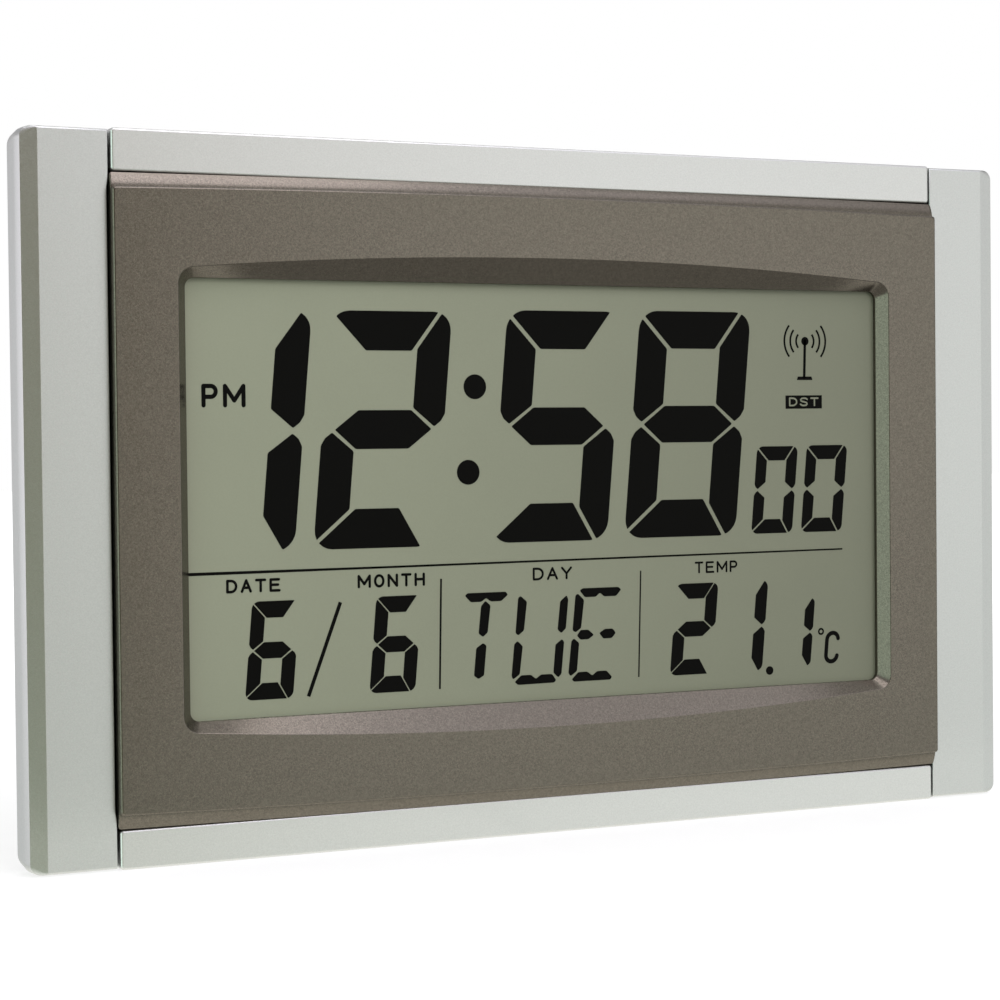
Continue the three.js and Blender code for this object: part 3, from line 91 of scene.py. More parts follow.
class ClockSurround(PropertyGroup):
    side_turn: length("Side turn", "How far the front of each outer side leans in", 0.6)
    side_turn_depth: length("Side turn depth", "How far back that lean reaches", 5.5)
    wall: length("Wall", "Thickness of the silver shell", 2)
    edge_round: length("Edge round", "Radius of the edges of the silver parts", 0.8)
    bevel_width: length("Bevel width", "Width of the sloping strip along each outer side", 5.9)
    bevel_drop: length("Bevel drop", "How far that strip falls back", 0.93)
    corner: length("Corner", "Corner radius of a side panel at its front", 3.5)
    rear_corner: length("Rear corner", "Corner radius of a side panel at its back", 5)
    reach: length("Reach", "How far a panel's inner edge reaches past its frame node", 0.2)
    step: length("Step", "Setback of a panel's inner edge beside the bezel", 0.45)
    step_run: length("Step run", "Height over which that edge steps back", 4)
    lean: length("Lean", "How far a panel's face falls back towards its inner edge", 0.55)


class ClockBars(PropertyGroup):
    top_reach: length("Top reach", "How far the top bar reaches below its frame node", 0.42)
    bottom_cut: length("Bottom cut", "How far the bottom bar stops below the top of its frame node", 0.6)
    side_reach: length("Side reach", "How far each end of a bar reaches past its frame node", 0.05)
    corner: length("Corner", "Corner radius of a bar seen from the front", 1.2)


class ClockBezel(PropertyGroup):
    wall: length("Wall", "Thickness of the bezel", 2)
    drop: length("Drop", "How far the bezel sits below the middle of its frame node", 0.5)
    side_reach: length("Side reach", "How far each side reaches past the frame node", 0.85)
    end_reach: length("End reach", "How far the strips reach under the bars, past the frame node", 0.45)
    edge_bow: length("Edge bow", "Rise of the outer edge at the middle of the top and the bottom", 0.75)
    strip_width: length("Strip width", "Width of the strip along the top and the bottom, at its ends", 5.1)
    face_bow: length("Face bow", "Rise of the face's upper and lower edges at their middle", 1.6)
    ledge: length("Ledge", "Height of the strip's inner edge above its outer edge", 1.25)
    draft: length("Draft", "How much the bezel's sides lean in", 0.1)
    lip: length("Lip", "Radius of the edge round the face", 0.7)
    recess_bow: length("Recess bow", "Rise of the recess's upper and lower edges at their middle", 5.2)
    recess_corner: length("Recess corner", "Corner radius of the recess at the face", 5)
    window_corner: length("Window corner", "Corner radius of the window", 3)
    recess_margin_x: length("Side margin", "Face width beside the recess", 19.6)
    recess_margin_z: length("End margin", "Face height above the recess's corners", 27.9)
    recess_run_x: length("Side run", "Width of the recess's side slopes", 3.1)
    recess_run_z: length("End run", "Height of the recess's slopes at the corners", 3)
    window_lip: length("Window lip", "Height of the upright edge of the window", 1.3)


class ClockFigures(PropertyGroup):
    relief: length("Relief", "Thickness of a figure", 0.05)
    slant: quantity("Slant", "Sideways lean of the figures for each unit of height", 0.09)
    gap: length("Gap", "Gap between the bars of a large figure", 1.3)
    bar_height: length("Bar height", "Thickness of a level bar of a large figure", 12.65)
    bar_width: length("Bar width", "Thickness of an upright bar of a large figure", 11.35)
    corner: length("Corner", "Outer corner radius of a large figure", 6.5)


class ClockColours(PropertyGroup):
    silver: tint("Silver paint", "Side panels", 203, 205, 205)
    bars: tint("Bar paint", "Bars above and below the bezel", 213, 214, 214)
    bronze: tint("Bronze paint", "Bezel", 107, 101, 93)
    # The two display ground colours paint light and shade: lighter at the left end, darker at the right.
    lit_ground_left: tint("Display, left", "Ground of the display at its left end", 162, 167, 143)
    shaded_ground_right: tint("Display, right", "Ground of the display at its right end", 132, 135, 115)
    ink: tint("Figures", "Dark parts of the display", 13, 13, 11)
    black_plastic: tint("Black plastic", "Front housing and buttons", 30, 30, 31)
    grey_plastic: tint("Grey plastic", "Rear cover, stand and battery door", 62, 63, 65)
    white_plastic: tint("White plastic", "Display holder and clips", 226, 224, 216)
    board: tint("Board", "Circuit boards", 24, 92, 52)
    cell_sleeve: tint("Cell sleeve", "Printed sleeve of a cell", 38, 86, 122)
    cell_band: tint("Cell band", "Band at the positive end of a cell", 196, 160, 88)


class ClockStage(PropertyGroup):
    lens: quantity("Lens", "Focal length in mm", 86.4, min=10)
    yaw: tilt("Yaw", "Camera turn to the right", 25.48)
    pitch: tilt("Pitch", "Camera tilt upwards", -1.404)
    roll: tilt("Roll", "Camera roll", -0.597)
    place: FloatVectorProperty(
        name="Place",
        description="Where the camera stands",
        default=(-0.3578, -0.7194, 0.1297),
        subtype="TRANSLATION",
        unit="LENGTH",
    )
    sky: quantity("Studio light", "Strength of the light from all round", 0.86, min=0)
    fill: quantity("Fill light", "Power of the large lamp at the front right", 6.0, min=0)
    softbox: quantity("Softbox", "Power of the lamp above the front", 0.95, min=0)
    rear: quantity("Rear lamp", "Power of the lamp behind the object", 9.0, min=0)
    floor_size: length("Floor size", "Side of the floor", 12000)


# Shapes ------------------------------


def arc(centre, radius, start, end, steps):
    """Points of a circle's arc: the centre plus the radius times (cosine, sine) of angles even from start to end."""
    angle = np.radians(np.linspace(start, end, steps + 1))
    return np.stack([centre[0] + radius * np.cos(angle), centre[1] + radius * np.sin(angle)], 1)


def outline(half_x, half_z, radius, bow=0.0, edge_steps=1, corner_steps=8):
    """Rounded rectangle about the middle, anticlockwise from its right side: four quarter circles, and between
    them upper and lower edges that stand off the straight line by bow times (1 - (x / end x) squared)."""
    x, z = half_x - radius, half_z - radius
    along = np.linspace(x, -x, edge_steps + 1)[1:-1]
    rise = half_z + bow * (1 - (along / max(x, 1e-9)) ** 2)
    parts = [
        arc((x, z), radius, 0, 90, corner_steps),
        np.stack([along, rise], 1),
        arc((-x, z), radius, 90, 180, corner_steps),
        arc((-x, -z), radius, 180, 270, corner_steps),
        np.stack([-along, -rise], 1),
        arc((x, -z), radius, 270, 360, corner_steps),
    ]
    return np.concatenate(parts)


def ring(points, y, z=0.0):
    """Flat points (x, z) set at a depth y, and raised by z."""
    return np.stack([points[:, 0], np.full(len(points), y), points[:, 1] + z], 1)


def stacked(rings, looped=False):
    """Skin through rings of equal count: quads between each ring and the next. Open ends get one flat face each,
    and a looped skin joins its last ring to its first."""
    rings = np.asarray(rings)
    count, around = rings.shape[:2]
    index = np.arange(count * around).reshape(count, around)
    near = index if looped else index[:-1]
    far = np.roll(index, -1, 0) if looped else index[1:]
    quads = np.stack([near, np.roll(near, -1, 1), np.roll(far, -1, 1), far], -1).reshape(-1, 4).tolist()
    if not looped:
        quads += [index[0, ::-1].tolist(), index[-1].tolist()]
    return rings.reshape(-1, 3), quads


def turned(profile, centre, axis="y", steps=48):
    """A profile of (radius, distance along the axis) carried round the axis: each point is the radius times
    (cosine, sine) across the axis. The two ends are closed flat."""
    profile = np.array(profile, float)
    angle = np.linspace(0, 2 * np.pi, steps, endpoint=False)
    across = profile[:, :1] * np.cos(angle)
    up = profile[:, :1] * np.sin(angle)
    along = profile[:, 1:] + 0 * angle
    order = {"x": (along, across, up), "y": (across, along, up)}[axis]
    return stacked(np.stack(order, -1) + np.array(centre))


def prism(points, y0, y1):
    """Flat outline (x, z) carried straight from depth y0 to depth y1."""
    return stacked([ring(points, y0), ring(points, y1)])


def rounded(radius, degrees=(0, 22, 45, 68, 90)):
    """A quarter circle as pairs of distances from its two sides: the radius times (1 - cosine) and (1 - sine)."""
    turn = np.radians(degrees)
    return zip(radius * (1 - np.cos(turn)), radius * (1 - np.sin(turn)))


def softened(points, radius):
    """Each corner of a polygon becomes a short parabola that leaves its two edges a radius before the corner, or
    less than half an edge where the edge is short."""
    points = np.asarray(points, float)

    def cut(neighbours):
        step = neighbours - points
        reach = np.linalg.norm(step, axis=1)[:, None]
        return (points + step / reach * np.minimum(radius, 0.45 * reach))[:, None]

    along = np.linspace(0, 1, 4)[None, :, None]
    first = cut(np.roll(points, 1, 0)) * (1 - along) ** 2
    middle = points[:, None] * 2 * along * (1 - along)
    return (first + middle + cut(np.roll(points, -1, 0)) * along**2).reshape(-1, 2)


def kept_left(points, a, b, shift=0.0):
    """The part of a convex polygon on the left of the line from a to b, moved left by shift: points on that side
    stay, and each edge that crosses the line gives the point where it crosses."""
    a, b = np.asarray(a, float), np.asarray(b, float)
    along = (b - a) / np.linalg.norm(b - a)
    side = (points - a) @ np.array([-along[1], along[0]]) - shift
    ahead = np.roll(side, -1)
    crossing = (side >= 0) != (ahead >= 0)
    step = np.where(crossing, side / np.where(crossing, side - ahead, 1), 0)[:, None]
    cuts = points + step * (np.roll(points, -1, 0) - points)
    both = np.stack([points, cuts], 1).reshape(-1, 2)
    return both[np.stack([side >= 0, crossing], 1).reshape(-1)]


def ribbon(path, width):
    """Flat band along a path of (x, z): the path moved half a width to each side along its normals."""
    path = np.asarray(path, float)
    ahead = np.gradient(path, axis=0)
    ahead /= np.linalg.norm(ahead, axis=1)[:, None]
    side = np.stack([-ahead[:, 1], ahead[:, 0]], 1) * width / 2
    return np.concatenate([path + side, (path - side)[::-1]])


def stroke(path, width):
    """A band along a path with half circles at its two ends, as a pen would leave it."""
    band = ribbon(path, width)
    half = len(band) // 2
    caps = []
    for end in (half - 1, 2 * half - 1):
        middle = (band[end] + band[(end + 1) % len(band)]) / 2
        across = band[end] - middle
        ahead = np.array([across[1], -across[0]])
        turn = np.linspace(0, np.pi, 9)[1:-1, None]
        caps.append(middle + across * np.cos(turn) + ahead * np.sin(turn))
    return np.concatenate([band[:half], caps[0], band[half:], caps[1]])


def joined(parts):
    """Several bodies as one list of points and one list of faces."""
    points, faces, start = [], [], 0
    for body_points, body_faces in parts:
        points.append(np.asarray(body_points))
        faces += [[index + start for index in face] for face in body_faces]
        start += len(body_points)
    return np.concatenate(points), faces


def placed(name, mesh, finish, crisp, rounding, body, stands_for):
    """Puts a mesh into the scene with a finish, crisp edges above an angle, and rounding of the edges that have a
    bevel weight. It rides on a body of the frame and takes the place of frame nodes."""
    mesh.materials.clear()
    mesh.materials.append(bpy.data.materials[finish])
    mesh.shade_smooth()
    mesh.set_sharp_from_angle(angle=math.radians(crisp))
    made = bpy.data.objects.new(name, mesh)
    bpy.context.scene.collection.objects.link(made)
    if rounding:
        bevel = made.modifiers.new("Edge rounding", "BEVEL")
        bevel.limit_method = "WEIGHT"
        bevel.width = rounding
        bevel.segments = 2
        bevel.use_clamp_overlap = False
        bevel.miter_outer = "MITER_ARC"
    made.modifiers.new("Flat faces stay flat", "WEIGHTED_NORMAL").keep_sharp = True
    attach(made, body)
    if stands_for:
        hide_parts(*stands_for)


def piece(name, parts, finish, body="root", stands_for=()):
    """Makes one object from its bodies and turns its faces outwards."""
    points, faces = joined(parts)
    mesh = bpy.data.meshes.new(name)
    mesh.from_pydata(points.tolist(), [], faces)
    work = bmesh.new()
    work.from_mesh(mesh)
    bmesh.ops.recalc_face_normals(work, faces=work.faces)
    work.to_mesh(mesh)
    work.free()
    placed(name, mesh, finish, 35, 0, body, stands_for)


def eased_copy(name, original, finish, width, slot, body="root", hidden_side=False, clear_of=()):
    """A copy of a frame node with its doubles merged, its flat faces whole and its edges rounded. With hidden_side,
    the edges of faces that look forwards, into the case, stay sharp. So do those round the nodes in clear_of."""
    crisp, flat_angle, margin, merging = 28, 0.6, 1 * MM, 0.002 * MM
    least_length = 1.8 * width
    boxes = [[np.array(corner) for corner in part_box(other)] for other in clear_of]

    def near(edge, low, high):
        ends = [np.array(corner.co) for corner in edge.verts]
        return all((low - margin < end).all() and (end < high + margin).all() for end in ends)

    mesh = NODES[original].data.copy()
    mesh.name = name
    work = bmesh.new()
    work.from_mesh(mesh)
    bmesh.ops.remove_doubles(work, verts=work.verts, dist=merging)
    bmesh.ops.dissolve_limit(work, angle_limit=math.radians(flat_angle), verts=work.verts, edges=work.edges)
    weight = work.edges.layers.float.new("bevel_weight_edge")
    for edge in work.edges:
        inside = hidden_side and any(face.normal.y < -0.9 for face in edge.link_faces)
        sharp = len(edge.link_faces) == 2 and edge.calc_face_angle() > math.radians(crisp)
        if edge.calc_length() > least_length and sharp and not inside and not any(near(edge, *box) for box in boxes):
            edge[weight] = 1
    work.to_mesh(mesh)
    work.free()
    placed(name, mesh, finish, crisp, width, body, [original])


# Materials ------------------------------


def feed(tree, made, inputs):
    """Gives a node's inputs their values, or links them to the outputs that feed them."""
    for socket, value in inputs.items():
        if isinstance(value, bpy.types.NodeSocket):
            tree.links.new(value, made.inputs[socket])
        else:
            made.inputs[socket].default_value = value
    return made


def node(tree, kind, inputs=None, **settings):
    """One shader node with its settings and its inputs."""
    made = tree.nodes.new("ShaderNode" + kind)
    for key, value in settings.items():
        setattr(made, key, value)
    return feed(tree, made, inputs or {})


def maths(tree, operation, *values):
    return node(tree, "Math", dict(enumerate(values)), operation=operation).outputs[0]


def scaled(tree, colour, amount):
    """A colour or a vector times a number."""
    return node(tree, "VectorMath", {0: colour, "Scale": amount}, operation="SCALE").outputs[0]


def blended(tree, amount, first, second, kind="MIX"):
    """Two colours mixed by an amount."""
    colours = {"Factor": amount, 6: first, 7: second}
    return node(tree, "Mix", colours, data_type="RGBA", blend_type=kind).outputs[2]


def ranged(tree, value, start, end, low=0.0, high=1.0, kind="LINEAR"):
    """A value between start and end, carried to between low and high."""
    ranges = {"Value": value, 1: start, 2: end, 3: low, 4: high}
    return node(tree, "MapRange", ranges, interpolation_type=kind).outputs[0]


def noise(tree, place, scale, detail):
    return node(tree, "TexNoise", {"Vector": place, "Scale": scale, "Detail": detail}).outputs["Fac"]


def on_object(tree):
    return node(tree, "TexCoord").outputs["Object"]


def part_of(tree, place, axis):
    return node(tree, "SeparateXYZ", {"Vector": place}).outputs[axis]


def effect(name, inputs):
    """A node group with named inputs (a number or a colour each) that gives out a colour, a roughness and a height:
    its tree, its inputs and the place on the object."""
    tree = bpy.data.node_groups.new(name, "ShaderNodeTree")
    for label, default in inputs.items():
        kind = "NodeSocketFloat" if isinstance(default, float) else "NodeSocketColor"
        tree.interface.new_socket(label, in_out="INPUT", socket_type=kind).default_value = default
    for label, kind in (("Colour", "Color"), ("Roughness", "Float"), ("Height", "Float")):
        tree.interface.new_socket(label, in_out="OUTPUT", socket_type="NodeSocket" + kind)
    return tree, tree.nodes.new("NodeGroupInput").outputs, on_object(tree)


def give(tree, colour, roughness, height):
    """The end of a shared effect."""
    feed(tree, tree.nodes.new("NodeGroupOutput"), {"Colour": colour, "Roughness": roughness, "Height": height})


GREY = (0.5, 0.5, 0.5, 1)


def flake_effect():
    """Metal flakes in paint: fine cells whose brightness varies, two fine hues, and a slightly uneven gloss."""
    inputs = {"Colour": GREY, "Flake size": 0.0003, "Sparkle": 0.1, "Hue shift": 0.1, "Gloss": 0.4}
    tree, given, place = effect("Flake paint", inputs)
    fineness = maths(tree, "DIVIDE", 1.0, given["Flake size"])
    cells = node(tree, "TexVoronoi", {"Vector": place, "Scale": fineness}).outputs["Color"]
    value = node(tree, "SeparateColor", {"Color": cells}).outputs["Red"]
    cell_weight, mean = 0.6, 0.8
    both = maths(tree, "MULTIPLY_ADD", value, cell_weight, noise(tree, place, 1900.0, 2.0))
    swing = maths(tree, "MULTIPLY_ADD", maths(tree, "SUBTRACT", both, mean), given["Sparkle"], 1.0)
    bright = scaled(tree, given["Colour"], swing)
    pinkish, greenish = (1.0, 0.94, 0.93, 1), (0.93, 1.0, 0.94, 1)
    tone = blended(tree, noise(tree, place, 2300.0, 1.0), pinkish, greenish)
    shifted = blended(tree, given["Hue shift"], bright, tone, "MULTIPLY")
    give(tree, shifted, maths(tree, "MULTIPLY_ADD", value, 0.07, given["Gloss"]), both)


def moulded_effect():
    """Spark-eroded plastic: fine pits for the height, and faint cloudy changes of tone and gloss."""
    tree, given, place = effect("Moulded grain", {"Colour": GREY, "Grain size": 0.0006, "Gloss": 0.5})
    pits = noise(tree, place, maths(tree, "DIVIDE", 1.0, given["Grain size"]), 3.0)
    both = maths(tree, "ADD", pits, noise(tree, place, 22.0, 3.0))
    toned = scaled(tree, given["Colour"], ranged(tree, both, 0.6, 1.4, 0.9, 1.1))
    give(tree, toned, maths(tree, "MULTIPLY_ADD", pits, 0.2, given["Gloss"]), pits)


def brushed_effect():
    """Drawn or plated metal: fine streaks that run along x, and faint stains."""
    tree, given, place = effect("Worked metal", {"Colour": GREY, "Gloss": 0.25})
    drawn = node(tree, "Mapping", {"Vector": place, "Scale": (60.0, 1800.0, 1800.0)}).outputs[0]
    streaks = noise(tree, drawn, 1.0, 2.0)
    both = maths(tree, "ADD", streaks, noise(tree, place, 260.0, 3.0))
    toned = scaled(tree, given["Colour"], ranged(tree, both, 0.6, 1.4, 0.86, 1.08))
    give(tree, toned, maths(tree, "MULTIPLY_ADD", both, 0.12, given["Gloss"]), streaks)


def new_material(name, colour):
    """A material with its plain colour for the solid view: its node tree and its shader."""
    made = bpy.data.materials.new(name)
    made.use_nodes = True
    made.diffuse_color = (*colour, 1)
    return made.node_tree, made.node_tree.nodes["Principled BSDF"]


def bump(tree, height, strength, distance):
    return node(tree, "Bump", {"Height": height, "Strength": strength, "Distance": distance}).outputs[0]


def material(name, colour, effect_name, relief, values, shader=None):
    """A surface whose colour, roughness and height come from a shared effect. The relief is the strength and the
    distance of its bumps."""
    tree, surface = new_material(name, colour)
    source = node(tree, "Group", node_tree=bpy.data.node_groups[effect_name])
    feed(tree, source, {"Colour": (*colour, 1), **values})
    given = source.outputs
    normal = bump(tree, given["Height"], *relief)
    inputs = {"Base Color": given["Colour"], "Roughness": given["Roughness"], "Normal": normal}
    feed(tree, surface, {**inputs, **(shader or {})})


def display_material(colours):
    """Ground of the display: olive, with painted light and shade that make it paler at its left end and darker at its
    right, a faint cloudiness and a clear front.
    """
    tree, surface = new_material("Display ground", colours.lit_ground_left)
    place, half_width = on_object(tree), 0.13
    along = ranged(tree, part_of(tree, place, "X"), -half_width, half_width)
    # Painted light and shade: the ground runs from lighter at the left end to darker at the right, for light that falls
    # unevenly across the display.
    base = blended(tree, along, (*colours.lit_ground_left, 1), (*colours.shaded_ground_right, 1))
    fine = noise(tree, place, 2200.0, 1.0)
    both = maths(tree, "ADD", noise(tree, place, 30.0, 4.0), fine)
    inputs = {
        "Base Color": scaled(tree, base, ranged(tree, both, 0.6, 1.4, 0.97, 1.03)),
        "Roughness": ranged(tree, fine, 0.3, 0.7, 0.42, 0.5),
        "Specular IOR Level": 0.25,
        "Coat Weight": 0.12,
        "Coat Roughness": 0.3,
    }
    feed(tree, surface, inputs)


def board_material(colour):
    """Circuit board: lacquer over fine parallel copper tracks, with a weave below."""
    tree, surface = new_material("Circuit board", colour)
    place = on_object(tree)
    brick = {"Vector": place, "Scale": 180.0, "Mortar Size": 0.06, "Brick Width": 2.6, "Row Height": 0.4}
    tracks = node(tree, "TexBrick", brick).outputs["Fac"]
    lighter = [min(1, 2.1 * channel) for channel in colour]
    inputs = {
        "Base Color": blended(tree, tracks, (*colour, 1), (*lighter, 1)),
        "Roughness": ranged(tree, noise(tree, place, 700.0, 2.0), 0.3, 0.7, 0.3, 0.48),
        "Normal": bump(tree, tracks, 0.4, 0.00004),
    }
    feed(tree, surface, inputs)


def cell_material(colours, low_x, high_x, facing):
    """Sleeve of a cell: a plain coloured sleeve, a gold band at the positive end, and bare steel at both ends."""
    name = "Cell sleeve, right" if facing > 0 else "Cell sleeve, left"
    tree, surface = new_material(name, colours.cell_sleeve)
    place = on_object(tree)
    along = ranged(tree, part_of(tree, place, "X"), *(low_x, high_x)[::facing])
    stops = node(tree, "ValToRGB", {"Fac": along})
    ramp = stops.color_ramp
    ramp.interpolation = "CONSTANT"
    steel = (0.62, 0.62, 0.63)
    band_start = 0.7
    starts = ((0, steel), (0.018, colours.cell_sleeve), (band_start, colours.cell_band), (0.962, steel))
    for number, (position, colour) in enumerate(starts):
        stop = ramp.elements[number] if number < 2 else ramp.elements.new(position)
        stop.position = position
        stop.color = (*colour, 1)
    inputs = {
        "Base Color": stops.outputs["Color"],
        "Metallic": maths(tree, "GREATER_THAN", along, band_start),
        "Roughness": ranged(tree, noise(tree, place, 900.0, 3.0), 0.3, 0.7, 0.24, 0.36),
    }
    feed(tree, surface, inputs)
    return name


def make_materials(colours):
    """The shared effects and every finish, each made once."""
    flake_effect()
    moulded_effect()
    brushed_effect()
    flakes = {"Flake size": 0.00022, "Sparkle": 0.16, "Hue shift": 0.6, "Gloss": 0.295}
    lacquer = {"Metallic": 0.92, "Coat Weight": 0.06, "Coat Roughness": 0.25}
    for name, colour in (("Silver paint", colours.silver), ("Bar paint", colours.bars)):
        material(name, colour, "Flake paint", (0.25, 0.00002), flakes, lacquer)
    flakes = {"Flake size": 0.00034, "Sparkle": 0.6, "Hue shift": 1.0, "Gloss": 0.155}
    lacquer = {"Metallic": 0.9, "Coat Weight": 0.08, "Coat Roughness": 0.3}
    material("Bronze paint", colours.bronze, "Flake paint", (0.35, 0.00002), flakes, lacquer)
    for name, colour, gloss, size in (
        ("Black plastic", colours.black_plastic, 0.42, 0.0005),
        ("Grey plastic", colours.grey_plastic, 0.5, 0.0007),
        ("White plastic", colours.white_plastic, 0.4, 0.0008),
        ("Foot rubber", linear(34, 34, 35), 0.72, 0.0005),
        ("Ferrite", linear(62, 60, 60), 0.6, 0.0004),
        ("Pink rubber", linear(214, 170, 162), 0.7, 0.0005),
        ("Red lead", linear(168, 34, 30), 0.4, 0.0006),
        ("Black lead", linear(28, 28, 28), 0.4, 0.0006),
        ("Reflector film", linear(176, 180, 158), 0.35, 0.0005),
    ):
        material(name, colour, "Moulded grain", (0.5, 0.00006), {"Grain size": size, "Gloss": gloss})
    matt = {"Grain size": 0.0004, "Gloss": 0.6}
    material("Figure ink", colours.ink, "Moulded grain", (0.1, 0.00001), matt, {"Specular IOR Level": 0.06})
    for name, colour, gloss in (("Bright steel", (198, 199, 202), 0.2), ("Copper wire", (196, 120, 66), 0.25)):
        material(name, linear(*colour), "Worked metal", (0.3, 0.00003), {"Gloss": gloss}, {"Metallic": 1.0})
    board_material(colours.board)
    display_material(colours)


def wear(finish, *names):
    """Frame nodes keep their shape and get a finish."""
    for name in names:
        mesh = NODES[name].data
        mesh.materials.clear()
        mesh.materials.append(bpy.data.materials[finish])


# Operators ------------------------------


class CLOCK_OT_materials(Operator):
    """Makes the shared effects and the finishes"""

    bl_idname = "clock.materials"
    bl_label = "Finishes"

    def execute(self, context):
        make_materials(context.scene.clock_colours)
        return {"FINISHED"}


def panel_rings(sizes, low, high, side):
    """Outline of a side panel at each depth. The inner edge steps back beside the bezel along a smooth step, and the
    face falls back evenly towards that edge. The outer corners are quarter circles. The outer side slopes back over
    the bevel, and from there out to its full width, by the side turn times (1 - share of the depth) to 1.5."""
    inner, outer = sorted((abs(low.x), abs(high.x)))
    front, back = low.y, high.y
    bezel_low, bezel_high = (corner.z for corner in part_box("bezel"))
    flat = outer - sizes.bevel_width
    radius, wall = sizes.edge_round, sizes.wall
    clearance = 1.25 * radius
    least_corner, heel, heel_round = 0.3 * MM, 0.3 * MM, 0.2 * MM
    shoulder = front + sizes.bevel_drop

    def edge(inset, out, corner, y, lean=0.0):
        run = np.linspace(0, 1, 7)
        ease = run * run * (3 - 2 * run)
        near = inner - sizes.reach + 0.4 * inset
        down = [near + sizes.step * ease, bezel_high - clearance - sizes.step_run * run]
        up = [near + sizes.step * (1 - ease), bezel_low + clearance + sizes.step_run * (1 - run)]
        parts = [
            arc((out - corner, low.z + inset + corner), corner, -90, 0, 8),
            arc((out - corner, high.z - inset - corner), corner, 0, 90, 8),
            [(near, high.z - inset)],
            np.stack(down, 1),
            np.stack(up, 1),
            [(near, low.z + inset)],
        ]
        x, z = np.concatenate(parts).T
        depth = y + lean * np.clip((flat - x) / (flat - inner), 0, 1)
        return np.stack([x * side, depth, z], 1)

    rings = []
    for down, inset in (*rounded(radius, (0, 20, 45, 70, 90)), (sizes.bevel_drop, 0)):
        fallen = down / sizes.bevel_drop
        out = flat + (sizes.bevel_width - sizes.side_turn) * fallen
        rings.append(edge(inset, out, max(least_corner, sizes.corner * fallen), front + down, sizes.lean))
    for along in (0.04, 0.25, 0.5, 0.75, 1):
        out = outer - sizes.side_turn * (1 - along) ** 1.5
        rings.append(edge(0, out, sizes.corner, shoulder + sizes.side_turn_depth * along, sizes.lean))
    return rings + [
        edge(0, outer, sizes.rear_corner, back - heel),
        edge(heel_round, outer - heel_round, sizes.rear_corner, back),
        edge(wall, outer - wall, sizes.rear_corner - wall, back),
        edge(wall, outer - wall, sizes.corner - wall, shoulder + wall),
    ]


class CLOCK_OT_surround(Operator):
    """Builds the two silver side panels and the two silver bars"""

    bl_idname = "clock.surround"
    bl_label = "Silver surround"

    def execute(self, context):
        sizes = context.scene.clock_surround
        for name, side in (("left_side_panel", -1), ("right_side_panel", 1)):
            rings = panel_rings(sizes, *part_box(name), side)
            piece("silver_" + name, [stacked(rings)], "Silver paint", stands_for=[name])
        bars = context.scene.clock_bars
        for name, lower, upper in (("top_bar", bars.top_reach, 0), ("bottom_bar", 0, bars.bottom_cut)):
            low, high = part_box(name)
            low.z -= lower
            high.z -= upper
            half_x, half_z = high.x + bars.side_reach, (high.z - low.z) / 2
            hollow = outline(half_x - sizes.wall, half_z - sizes.wall, 0.8 * MM)
            shapes = [
                (outline(half_x - inset, half_z - inset, bars.corner - inset), low.y + down)
                for down, inset in rounded(sizes.edge_round)
            ]
            shapes += [
                (outline(half_x, half_z, bars.corner), high.y),
                (hollow, high.y),
                (hollow, low.y + sizes.wall),
            ]
            body = stacked([ring(shape, y, (high.z + low.z) / 2) for shape, y in shapes])
            piece("silver_" + name, [body], "Bar paint", stands_for=[name])
        return {"FINISHED"}


